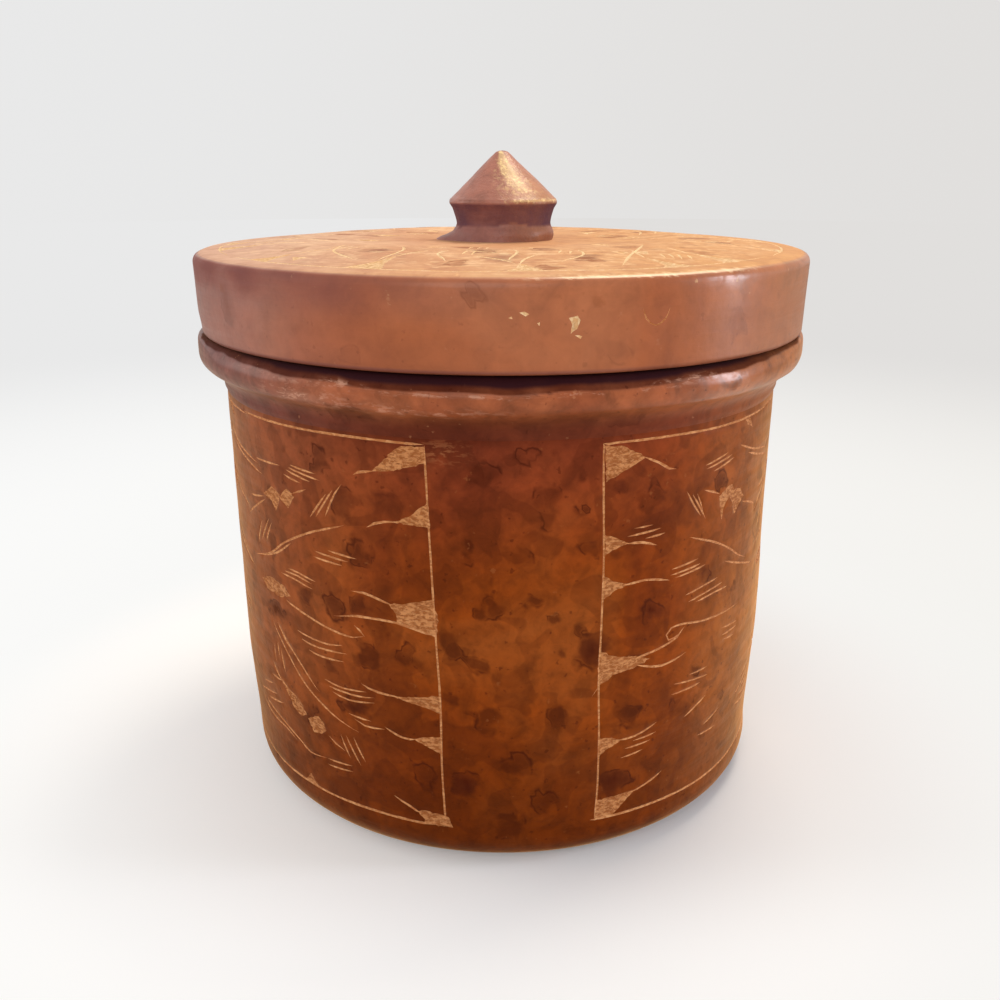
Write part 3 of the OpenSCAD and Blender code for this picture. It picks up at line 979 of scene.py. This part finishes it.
collar = {
    "bead": 4.4, "beadWander": 0.16, "standOff": 0.12, "clear": 0.03, "beadEnd": -62,  # degrees under level
    "gapClosesFrom": 0.95, "gapClosesTo": 1.22,  # radians from the front
    "bedded": 0.45, "beddedAt": (102.1, 106, 111),  # how far it reaches into the wall, and at which heights
    "fuller": 3.6, "lessBehind": 0.75, "behindFrom": 2.1, "behindTo": 2.6,  # its shoulder at the sides
    "beadRows": 29, "coveRows": 10, "hollow": 2.1, "dent": 0.06, "coveDent": 0.05, "dentSize": 12,
    "dentSeed": 33,
    "feather": [(0.5, 103.8), (0.3, 103.3), (0.08, 102.8), (-0.1, 102.4), (-0.45, 102.1)],
    "smoke": [(-62, 111, 10, 0.6, 10), (-30, 107, 14, 0.4, 0), (24, 107, 16, 0.35, 0), (48, 112, 8, 0.6, 0),
              (6, 113, 9, 0.4, 0), (110, 110, 14, 0.5, 0), (170, 108, 12, 0.5, 0), (-120, 110, 13, 0.5, 0)],
    "gapLine": 113.25, "gapLineRise": 3.4,  # the lid's shade: its height in front, its rise to the sides
    "shoulderFrom": 71.8, "shoulderTo": 72.9,
}


def collarStains(place):
    flat = unrolled(place)
    arc, height = flat[:, 0], flat[:, 1]
    # Painted shade, with some soot, on the cove under the bead
    low = (1 - ease(height, 106.5, 110)) * shadeUnder(arc)
    # The lid shades the bead down to a wavy line, lowest at the front and at the back
    turn = np.abs(arc) / jarRadius
    side = np.clip(np.minimum(turn, math.pi - turn) / 1.33, 0, 1)
    line = collar["gapLine"] + collar["gapLineRise"] * side ** 1.8
    line = line + 0.22 * swells(flat[:, :1], 21, 34) + 0.1 * swells(flat[:, :1], 6, 35)
    shoulder = ease(np.hypot(place[:, 0], place[:, 1]), collar["shoulderFrom"], collar["shoulderTo"])
    gap = (0.3 + 0.56 * shoulder) * ease(height, line - 0.1, line + 0.3)
    # Pale wear: a rubbed spot at the left, a line along the bead, crumbs in the gap and nicks under it
    left = bump(arc, -40, 9) * bump(height, 110.4, 1.7)
    along = bump(arc, -18, 14) * bump(height, 109.2, 1.0)
    crumbs = (bump(arc, 36, 7) + bump(arc, -30, 4)) * bump(height, line + 0.3, 0.5)
    nicks = 0.8 * bump(arc, -4, 40) * bump(height, line - 0.55, 0.3)
    return {"smoke": spotField(flat, collar["smoke"], 2 * math.pi * jarRadius),
            "sootAndShade": np.maximum(low, gap), "wearAndGlint": np.clip(left + along * 0.8 + crumbs + nicks, 0, 1),
            "paintedShade": 0.94 * shoulder * ease(height, line + 0.8, line + 1.7), "rubbed": bump(arc, 46, 11)}


def buildCollar():
    clay = emptyClay()
    around = ringAngles()
    away = np.abs(halfTurns(around))
    place = turned(around, jarRadius, 110)
    bead = collar["bead"] + collar["beadWander"] * swells(place, 48, 31)
    widest = collarBox[1].x / mm
    outer = widest - collar["clear"] - collar["standOff"] * (1 + swells(place, 60, 32)) / 2
    middle, height = outer - bead, seatHeight - collar["clear"] - bead
    # The bead's shoulder is fuller at the sides, where the lid's gap closes
    closing = ease(away, collar["gapClosesFrom"], collar["gapClosesTo"])
    behind = ease(away, collar["behindFrom"], collar["behindTo"])
    square = 2 + collar["fuller"] * closing * (1 - collar["lessBehind"] * behind)

    def dents(z, deep):
        return deep * swells(turned(around, jarRadius, z), collar["dentSize"], collar["dentSeed"])

    heights = collar["beddedAt"] + (seatHeight - 0.4,)
    rings = [turned(around, jarRadius - collar["bedded"], z) for z in heights]
    rings.append(turned(around, jarRadius - 0.1, seatHeight - 0.05))
    for angle in np.radians(np.linspace(90, 0, collar["beadRows"])):
        r = middle + bead * max(math.cos(angle), 0) ** (2 / square)
        z = height + bead * math.sin(angle) ** (2 / square)
        rings.append(turned(around, np.minimum(r + dents(z, collar["dent"]), widest), z))
    last = math.radians(collar["beadEnd"])
    for angle in np.linspace(0, last, collar["coveRows"])[1:]:
        r = middle + bead * math.cos(angle) + dents(height, collar["dent"])
        rings.append(turned(around, r, height + bead * math.sin(angle)))
    # Below the bead the clay is smeared into a cove that thins out on the wall
    startR, startZ = middle + bead * math.cos(last), height + bead * math.sin(last)
    endOff, endZ = collar["feather"][0]
    for t in np.linspace(0, 1, collar["coveRows"])[1:]:
        z = startZ + (endZ - startZ) * t
        wall = wallSurface(around, z) + endOff
        r = wall + (startR - wall) * (1 - t) ** collar["hollow"] + dents(z, collar["coveDent"]) * (1 - t)
        rings.append(turned(around, r, z))
    for off, z in collar["feather"][1:]:
        rings.append(turned(around, wallSurface(around, z) + off, z))
    rings.append(rings[0])
    addRows(clay, rings, skinPlace)
    return fire("collarRoll", clay, [collarSkin], "jar", "rim_collar", 40, collarStains)


# Lid

lid = {
    "inset": 0.9,  # how far its foot stands inside the collar's widest line
    "skirt": 6.0, "edgeRound": 0.8, "topRound": 2.2, "land": 13.0, "rise": 1.8,
    "ringRise": 1.0, "ringAt": 48.0, "ringWidth": 15,  # the faint swollen ring on its dome
    "swell": 0.10, "dent": 0.04, "seed": 61, "slack": 0.12, "rightOut": 0.38, "leftIn": 0.5,
    "topStep": 1.15, "hiddenStep": 2.4,  # between the points of its top, and of the part under the knob
    "topSwell": 0.12, "topDent": 0.05, "skirtCutSeed": 12, "topCutSeed": 13,
    "chipCut": (0.25, 0.05, 0.4), "looseCut": (0.3, 0.16, (0.3, 0.3), 1.0, 4),
    "seamStep": 2, "underRings": (69, 50, 28, 8),  # rings of points in the seam and under the top
    "chips": [
        [(3.4, 128.6), (4.4, 128.8), (5.3, 128.3), (4.6, 127.9)],
        [(1.4, 127.6), (2.0, 127.9), (2.2, 127.4)],
        [(12.7, 127.5), (14.4, 127.9), (15.0, 127.0), (14.4, 125.4), (13.2, 124.6), (13.4, 126.2)],
        [(14.0, 124.2), (15.4, 124.0), (15.1, 123.5)], [(6.8, 126.6), (7.3, 126.8), (7.2, 126.1)],
    ],
    "looseLine": [(27.6, 128.7), (28.3, 126.8), (30.4, 125.4), (32.5, 126.5), (33.6, 128.7)],
    "smoke": [
        (-30, 120, 7, 0.7, 0), (22, 121, 8, 0.6, 0), (-6, 132, 6, 0.6, 0), (52, 124, 8, 0.8, 0),
        (-66, 126, 7, 1.8, 20), (18, 131, 5, 0.8, 0), (130, 124, 12, 0.7, 0), (190, 122, 10, 0.6, 0),
        (-130, 125, 12, 0.8, 0), (-180, 122, 9, 0.7, 0),
    ],
}
lidFoot = skirtBox[0].z / mm
lidFootRadius = collarBox[1].x / mm - lid["inset"]
lidTopRadius = topBox[1].x / mm
lidEdgeHeight = knobBox[0].z / mm - lid["rise"]


def lidSideRadius(height):
    return lidFootRadius + (lidTopRadius - lidFootRadius) * (height - lidFoot) / (lidEdgeHeight - lidFoot)


def lidSide(angles, height):
    # The lid leans out at the right, and is drawn in low down at the left
    wave = handmade(angles, height, lid["swell"], lid["dent"], lid["seed"]) - lid["slack"]
    wave = wave + lid["rightOut"] * np.clip(np.sin(angles), 0, 1)
    wave = wave - lid["leftIn"] * np.clip(-np.sin(angles), 0, 1) * (1 - ease(height, 117, 123))
    return lidSideRadius(height) + wave


def lidStains(place):
    flat = unrolled(place, lidFootRadius)
    arc, height = flat[:, 0], flat[:, 1]
    # Painted shade on the rounded foot over the gap, and a dark mark at the left
    edge = ease(height, 117.9, 116.9) * 0.8
    mark = bump(arc, -66, 2.2) * bump(height, 128, 5) * 0.5
    # Painted shade: a hazy mauve band below the top's edge on the left, and a dark line along the foot at
    # the front and left
    edgeShadeBand = (1 - ease(arc, -50, 20)) * ease(height, 124, 134) * (0.75 + 0.25 * swells(flat, 14, 62))
    line = 0.7 * bump(height, 117.2, 0.22) * (1 - ease(arc, 10, 40))
    return {"smoke": spotField(flat, lid["smoke"], 2 * math.pi * lidFootRadius),
            "sootAndShade": np.maximum(edge, mark), "paintedShade": np.maximum(0.95 * edgeShadeBand, line),
            "rubbed": bump(arc, 47, 10) * ease(height, 131.3, 132.6)}


def buildSkirt():
    clay = emptyClay()
    edge = lid["edgeRound"]
    low, high = lidFoot + edge + 0.3, seamHeight
    sheet, rim = blankSheet(lidFootRadius, low, high, 10)
    cuts = [scrape(p, *lid["chipCut"]) for p in lid["chips"]]
    cuts.append(scratch(lid["looseLine"], *lid["looseCut"]))
    flat, triangles, depth, kinds = carve(sheet, rim, cuts, lid["skirtCutSeed"])
    angles = flat[:, 0] / lidFootRadius
    addSheet(clay, turned(angles, lidSide(angles, flat[:, 1]) - depth, flat[:, 1]), triangles, kinds)
    around = ringAngles()
    bore = lidFootRadius - lid["skirt"]
    outer = [turned(around, lidSide(around, low), low)]
    for r, z in arcPoints(0, lidFoot + edge, edge, 0, -90, 5):
        outer.append(turned(around, lidSide(around, z) - edge + r, z))
    inner = ([(lidFootRadius - 3, lidFoot)] + arcPoints(bore + edge, lidFoot + edge, edge, 270, 180, 5)
             + densify([(bore, lidFoot + edge), (bore, high)], 3)[1:])
    inner = [turned(around, r, z) for r, z in inner]
    side = lidSide(around, high)
    addRows(clay, outer + inner[:1], skinPlace)
    addRows(clay, inner, rawPlace)
    seam = [turned(around, r, high) for r in (side - lid["seamStep"], side)]
    addRows(clay, inner[-1:] + seam, rawPlace)
    materials = [lidSkin, topScrapedAndGlint, raw, scratched]
    return fire("lidSkirt", clay, materials, "lid", "lid_skirt", 40, lidStains)


def topHeight(radius):
    # Low dome with a faint swollen ring, flat under the knob
    edge = lidTopRadius - lid["land"]
    fall = 1 - ((radius - lid["land"]) / edge) ** 2
    dome = np.where(radius < lid["land"], lid["rise"], lid["rise"] * fall)
    return lidEdgeHeight + dome + lid["ringRise"] * bump(radius, lid["ringAt"], lid["ringWidth"])


topStrokes = {  # width, depth, how blunt the two ends are, and the step between points
    "ring": (0.5, 0.12, (0.4, 0.3), 2.2), "tails": (0.6, 0.14, (0.7, 0.1), 1.6),
    "dashes": (0.5, 0.13, (0.2, 0.15), 1.6), "leaves": (0.6, 0.13, (0.2, 0.15), 1.6),
}
topScrapes = {"thorns": (0.16, 0.12, 0.62), "patches": (0.16, 0.1, 0.6)}  # depth, raggedness and grain
lidHand = {
    # The front third of the lid's top, x to the right and y to the back; the front is at negative y
    "thornAngles": [(-23, 15, 9), (4, 9, 8), (31, 11, 7), (45, 12, 8), (-48, 10, 7)],  # degrees, then mm
    "patches": [
        [(-17, -33), (-13, -31.5), (-11.5, -27), (-14.5, -28.5)],
        [(2, -28), (8, -29.5), (7, -35.5), (4.5, -31.5)],
        [(21, -19.5), (25, -21.5), (24.5, -28), (22, -24.5)], [(23, -43), (27, -44.5), (25.5, -48)],
        [(27, -44.5), (31.5, -42), (31, -46.5)], [(-44, -45), (-40.5, -46.5), (-43, -50)],
    ],
    "dashes": [
        [(33.5, -43), (34.2, -49)], [(35.5, -42.3), (36.1, -48.6)], [(37.6, -42.3), (37.6, -49.4)],
        [(39.6, -43), (39.9, -48.4)], [(-8, -49.5), (-6.6, -42)], [(-6, -50.5), (-4.8, -42.5)],
        [(-7.4, -31), (-5.8, -25)], [(-5.4, -32), (-4, -26)], [(-3.4, -31.5), (-2.4, -26.5)],
        [(-9, -37), (-3, -42), (4, -44)], [(-8, -43), (-2, -48), (5, -51)], [(-6, -52), (0, -57), (3, -61)],
        [(12, -48), (13.2, -42)], [(14.3, -48.6), (15.2, -42.4)], [(-34, -38), (-30, -33)],
        [(-36, -36), (-32, -31)], [(-38, -34), (-34.4, -29.6)],
    ],
    "leaves": [
        [(24, -60), (26.5, -50), (30, -38), (33, -24)], [(1.5, -57), (3.5, -47), (2.5, -40)],
        [(-25, -54), (-21, -42), (-22, -30)], [(-30, -52), (-36, -40), (-35, -26)],
        [(12, -58), (17, -50), (16.5, -40)], [(-11, -57), (-13, -48), (-10, -41)],
    ],
    "smoke": [
        (-8, -29, 8, 1.3, 10), (-3.5, -45, 7, 2.0, 5), (-8.5, -60, 7, 1.4, 0), (9, -35, 6, 1.7, 0),
        (10, -41.5, 7, 0.8, 0), (9, -65, 8, 0.9, 0), (17, -55, 8, 1, 0), (28, -33, 6, 1.5, 0),
        (-28, -40, 7, 1.6, 0), (43, -40, 7, 1.3, 0), (-46, -30, 8, 1.2, 0), (52, -15, 8, 1.2, 0),
    ],
    "dark": [
        (-4, -42, 9, 2.2, 10), (0, -55, 7, 1.8, -8), (9, -38, 8, 1.3, 0), (-26, -41, 6, 1.2, 0),
        (18, -52, 7, 1, 0),
    ],
    "ring": 69.0,  # radius of the line that runs round the drawing
    "spotTurns": (math.degrees(2.1), math.degrees(4.2)), "spotsWithin": 40,  # spots repeated at the back
}
lidTurns = (0, 120, 240)  # the same hand goes round three times


def lidThorn(angle, deep, wide):
    # A scraped thorn that grows inwards from the ring line, with its tail
    ring = lidHand["ring"]
    a, half = math.radians(angle), wide / 2 / ring

    def at(aside, inwards):
        radius = ring - inwards
        return radius * math.sin(a + half * aside), -radius * math.cos(a + half * aside)

    outline = [at(-1, 0), at(-0.45, deep * 0.35), at(-0.1, deep), at(0.4, deep * 0.4), at(1, 0), at(0, -0.3)]
    return outline, [at(-0.1, deep - 0.5), at(0.3, deep + 4), at(1.4, deep + 9)]


def drawLid():
    cuts = []
    for turn in lidTurns:
        for thorn in lidHand["thornAngles"]:
            outline, tail = lidThorn(*thorn)
            cuts.append(scrape(spun(outline, turn), *topScrapes["thorns"], turn))
            cuts.append(scratch(spun(tail, turn), *topStrokes["tails"], turn))
        for kind in ("dashes", "leaves"):
            for points in lidHand[kind]:
                cuts.append(scratch(spun(points, turn), *topStrokes[kind], turn))
        for points in lidHand["patches"]:
            cuts.append(scrape(spun(points, turn), *topScrapes["patches"], turn))
    ring = lidHand["ring"]
    around = [(ring * math.sin(a), -ring * math.cos(a)) for a in np.linspace(-1.02, 1.02, 14)]
    return cuts + [scratch(spun(around, turn), *topStrokes["ring"], turn) for turn in lidTurns]


def topSpots():
    # The spots of the lid's front, and those near its middle line turned to the back twice
    spots = list(lidHand["smoke"])
    for turn in lidHand["spotTurns"]:
        for x, y, size, squash, tilt in lidHand["smoke"]:
            if abs(x) < lidHand["spotsWithin"]:
                spots.append((*spun([(x, y)], turn)[0], size, squash, tilt + turn))
    return spots


def buildTop():
    clay = emptyClay()
    edgeRound = lid["topRound"]
    edge = lidTopRadius - edgeRound
    points = [(0.0, 0.0)]
    radius = 3.0
    while radius < edge - 0.7:
        step = lid["topStep"] if radius > lid["land"] - 1 else lid["hiddenStep"]
        count = max(8, int(2 * math.pi * radius / step))
        points += [(radius * math.sin(a), -radius * math.cos(a))
                   for a in np.arange(count) * 2 * math.pi / count + radius]
        radius += step
    around = ringAngles()
    sheet = np.vstack([np.array(points), turned(around, edge, 0)[:, :2]])
    rim = np.arange(len(sheet)) >= len(points)
    flat, triangles, depth, kinds = carve(sheet, rim, drawLid(), lid["topCutSeed"])
    reach = np.linalg.norm(flat, axis=1)
    wave = lid["topSwell"] * swells(flat, 40, 71) * ease(reach, 12, 20)
    wave = wave + lid["topDent"] * swells(flat, 11, 72)
    wave *= ease(edge - reach, 0, 6)
    addSheet(clay, np.column_stack([flat, topHeight(reach) + wave - depth]), triangles, kinds)
    crown = topHeight(np.array([edge]))[0]
    rings = [turned(around, edge, crown)]
    for dr, dz in arcPoints(0, 0, edgeRound, 90, 0, 9)[1:]:
        z = crown - edgeRound + dz
        side = lidSide(around, z) - edgeRound + dr
        rings.append(turned(around, edge + (side - edge) * min(1, dr / edgeRound * 1.6), z))
    for z in np.linspace(crown - edgeRound, seamHeight, 4)[1:]:
        rings.append(turned(around, lidSide(around, z), z))
    addRows(clay, rings, skinPlace)
    under = rings[-1:]
    for radius in (lidSideRadius(seamHeight) - lid["seamStep"], *lid["underRings"]):
        under.append(turned(around, radius, seamHeight))
    addRows(clay, under, rawPlace)
    addCap(clay, under[-1], (0, 0, seamHeight), rawPlace)

    def stains(place):
        top = spotField(place[:, :2], topSpots())
        side = lidStains(place)
        flatTop = ease(place[:, 2], crown - 0.5, crown - 0.2)
        reach = np.hypot(place[:, 0], place[:, 1])
        arc = unrolled(place)[:, 0]
        # Painted highlights: a bright line along the right front of the top's edge, and pale streaks over
        # the top that are partly scuffs and partly painted glints
        edgeLine = bump(place[:, 2], crown - 0.4, 0.35) * ease(arc, -4, 18) * (1 - ease(arc, 46, 60))
        wornAndGlint = 0.45 * flatTop * ease(reach, 20, 40) * (1 - ease(reach, 64, 69)) + edgeLine
        dark = 0.62 * spotField(place[:, :2], lidHand["dark"]) ** 0.6
        return {"smoke": np.where(flatTop > 0.5, top, side["smoke"]),
                "sootAndShade": np.where(flatTop > 0.5, dark, side["sootAndShade"]),
                "wearAndGlint": np.clip(wornAndGlint, 0, 1), "topside": flatTop, "paintedShade": side["paintedShade"] * (1 - flatTop),
                "rubbed": side["rubbed"] * (1 - flatTop)}

    materials = [topSkin, topScrapedAndGlint, raw, topScratchedAndGlint]
    return fire("lidTop", clay, materials, "lid", "lid_top", 36, stains)


# Knob

knob = {
    "columns": 192, "offset": 0.7, "tipBack": 0.3,  # it stands off the middle, and its tip leans back to it
    "sunk": 0.3, "neck": [(12.75, 1.2), (12.3, 2.6), (11.85, 3.9), (12.15, 5.6), (12.75, 7.6)],
    "rimRadius": 13.5, "rimRound": 1.1, "rimUp": 9.1, "tipRadius": 3.4, "swell": 0.16, "dent": 0.05,
    "smearReach": 3.7, "smearAt": -92.0, "smearWidth": 0.42,
    "tipHeight": knobBox[1].z / mm,
    "smoke": [(3, -6, 4, 1, 0), (-5, 7, 5, 1, 0)],
}
knobFoot = knobBox[0].z / mm


def knobSection():
    # Radii and heights above the foot: neck and waist, rounded rim, blunt cone
    total, tip = knob["tipHeight"] - knobFoot, knob["tipRadius"]
    rimUp, rimRound = knob["rimUp"], knob["rimRound"]
    out, up = knob["rimRadius"] - rimRound, total - tip - rimUp
    slope = math.asin((rimRound - tip) / math.hypot(up, out))
    lean = math.degrees(math.atan2(up, out)) + math.degrees(slope)
    rim = arcPoints(out, rimUp, rimRound, -40, 90 - lean, 8)
    crest = arcPoints(0, total - tip, tip, 90 - lean, 88, 10)
    neck = roundPath([(12.9, -knob["sunk"])] + knob["neck"] + rim[:1], 0.5)
    return [tuple(p) for p in neck] + rim[1:] + densify([rim[-1], crest[0]], 0.55)[1:] + crest[1:]


def knobStains(place):
    up = place[:, 2] - knobFoot
    angle = np.arctan2(place[:, 0], -place[:, 1])
    # Dark slip covers the waist, down to a wavy edge, painted darker to stand in for the shade under the rim
    # too
    slipEdge = 3.7 + 0.45 * np.sin(angle * 3 + 0.6) + 0.3 * np.sin(angle * 7)
    rimUp = knob["rimUp"]
    plum = ease(up, slipEdge - 0.15, slipEdge + 0.15) * (1 - ease(up, rimUp - 0.5, rimUp + 0.1))
    # Painted highlight: a pale golden glint on the cone's right side, stronger near the tip
    glint = (0.8 + 0.5 * ease(up, 12, 19)) * bump(angle, 0.36 + 0.05 * (15 - up), 0.42)
    glint = glint * ease(up, rimUp + 0.4, rimUp + 3)
    rimWear = 0.9 * bump(up, rimUp + 0.5, 0.5) * ease(place[:, 0], -2, 4)
    return {"smoke": spotField(place[:, :2], knob["smoke"]),
            "sootAndShade": np.maximum(plum, 0.42 * (up < slipEdge)), "wearAndGlint": np.maximum(rimWear, glint)}


def buildKnob():
    clay = emptyClay()
    around = ringAngles(knob["columns"])
    total = knob["tipHeight"] - knobFoot
    apart = np.abs(halfTurns(around - np.radians(knob["smearAt"])))
    rings = []
    for r, up in knobSection():
        middle = knob["offset"] * ease(up, -1, 2) - knob["tipBack"] * ease(up, knob["rimUp"], total)
        place = turned(around, r, knobFoot + up)
        wave = knob["swell"] * swells(place, 16, 81) * ease(r, 0, 5)
        wave = wave + knob["dent"] * swells(place, 3.2, 82) * ease(r, 0.5, 4)
        # The slip that was smeared down over the joint, widest at the left
        low = 1 - ease(up, 0.2, 3.4)
        wave += low ** 3.2 * knob["smearReach"] * np.exp(-(apart / knob["smearWidth"]) ** 2)
        wave += (1 - ease(np.abs(up - 2.2), 0.2, 1.4)) * (0.28 + 0.22 * swells(place, 9, 83))
        rings.append(turned(around, np.maximum(r + wave, 0.02), knobFoot + up) + (middle, 0, 0))
    addCap(clay, rings[0], (0, 0, knobFoot - knob["sunk"]), skinPlace)
    addRows(clay, rings, skinPlace)
    addCap(clay, rings[-1], (knob["offset"] - knob["tipBack"], 0, knob["tipHeight"] - 0.01), skinPlace)
    return fire("lidKnob", clay, [knobSkin], "lid", "lid_knob", 40, knobStains)


buildFloor()
buildWall()
buildCollar()
buildSkirt()
buildTop()
buildKnob()
print("pieces made")


# Room, lamps and camera

room = {
    "sky": "#F6F4F1", "skyStrength": 0.5, "backdropLeft": "#E9E9E9", "backdropRight": "#E1DFDD",
    "floor": "#E6E3DF", "seenLeft": "#EEEFF0", "seenRight": "#DADFE6",
    "liftLeft": 0.24, "liftRight": 0.03, "liftFront": 0.12,  # white that is added near the jar
    "midLeft": "#FBFBFA", "midRight": "#F4F2EE",
    "reach": 3.0, "midFrom": 0.068, "midTo": 0.17, "farFrom": 0.24, "farTo": 0.72,  # metres
}
lamps = {
    # place, aim and size in mm, watts, colour
    "overheadWarm": ((190, 190, 680), (0, 0, 130), (320, 320), 3.0, "#FFECD4"),
    "windowCool": ((638, -75, 208), (20, 0, 110), (120, 380), 1.35, "#F8F6FF"),
    "windowLeft": ((-640, 40, 260), (0, 0, 90), (420, 420), 1.0, "#FFF8F0"),
    "frontSoft": ((-100, -700, 420), (0, 0, 90), (620, 620), 1.9, "#FFF6EE"),
}
camera = {"place": (-0.13, -261.4, 154.3), "tiltDown": 18.46, "lens": 36.0, "sensor": 36.0}


def buildSky():
    # A pale backdrop for the camera, and a dimmer even light for the rest
    world = bpy.data.worlds.new("room")
    bpy.context.scene.world = world
    world.use_nodes = True
    sky = Finish("sky", world.node_tree, "ShaderNodeOutputWorld")
    path = sky.node("ShaderNodeLightPath").outputs
    seen = sky.calc("MAXIMUM", path["Is Camera Ray"], path["Is Glossy Ray"])
    way = sky.node("ShaderNodeTexCoord").outputs["Generated"]
    side = sky.span(sky.node("ShaderNodeSeparateXYZ", {0: way}).outputs[0], -0.5, 0.5)
    view = sky.mix(side, room["backdropLeft"], room["backdropRight"])
    light = sky.node("ShaderNodeBackground", {0: paint(room["sky"]), 1: room["skyStrength"]})
    wall = sky.node("ShaderNodeBackground", {0: view, 1: 1.0})
    sky.show(sky.node("ShaderNodeMixShader", {0: seen, 1: light.outputs[0], 2: wall.outputs[0]}))


def layFloor():
    # The floor keeps the jar's shadow, and fades into the backdrop further out
    f = Finish("pale floor")
    reach = f.node("ShaderNodeVectorMath", {0: f.coords}, operation="LENGTH").outputs["Value"]
    seen = f.node("ShaderNodeLightPath").outputs["Is Camera Ray"]
    x, y, _ = f.axes()
    tint = f.mix(f.span(x, -0.06, 0.1), room["seenLeft"], room["seenRight"])
    ground = f.node("ShaderNodeBsdfDiffuse", {"Color": f.mix(seen, room["floor"], tint)})
    strength = f.times(f.plus(f.span(x, -0.1, 0.1, room["liftLeft"], room["liftRight"]),
                              f.span(y, -0.055, -0.1, 0, room["liftFront"])), seen)
    lift = f.node("ShaderNodeEmission", {"Color": paint("#FFFFFF"), "Strength": strength})
    shaded = f.node("ShaderNodeAddShader", {0: ground.outputs[0], 1: lift.outputs[0]})
    side = f.span(x, -0.35, 0.35)
    middle = f.mix(side, room["midLeft"], room["midRight"])
    outer = f.mix(side, room["backdropLeft"], room["backdropRight"])
    far = f.mix(f.span(reach, room["farFrom"], room["farTo"]), middle, outer)
    plain = f.node("ShaderNodeEmission", {"Color": far})
    fade = f.times(f.span(reach, room["midFrom"], room["midTo"]), seen)
    f.show(f.node("ShaderNodeMixShader", {0: fade, 1: shaded.outputs[0], 2: plain.outputs[0]}))
    mesh = bpy.data.meshes.new("paleFloor")
    ring = turned(np.arange(64) * 2 * math.pi / 64, room["reach"], 0)
    mesh.from_pydata(ring.tolist(), [], [tuple(range(64))])
    mesh.materials.append(f.material)
    floor = linked("paleFloor", mesh)


def aimed(thing, place, aim):
    thing.location = Vector(place) * mm
    thing.rotation_euler = (Vector(aim) - Vector(place)).to_track_quat("-Z", "Y").to_euler()


def hangLamps():
    for name, (place, aim, size, watts, colour) in lamps.items():
        lamp = bpy.data.lights.new(name, "AREA")
        lamp.shape = "ELLIPSE"
        lamp.size = size[0] * mm
        lamp.size_y = size[1] * mm
        lamp.energy = watts
        lamp.color = paint(colour)[:3]
        aimed(linked(name, lamp), place, aim)


def setCamera():
    lens = bpy.data.cameras.new("camera")
    lens.lens = camera["lens"]
    lens.sensor_width = camera["sensor"]
    lens.clip_start = 0.01
    holder = linked("camera", lens)
    holder.location = Vector(camera["place"]) * mm
    holder.rotation_euler = (math.radians(90 - camera["tiltDown"]), 0, 0)
    bpy.context.scene.camera = holder


buildSky()
layFloor()
hangLamps()
setCamera()
bpy.context.scene.view_settings.view_transform = "Standard"
print("room, lamps and camera set")
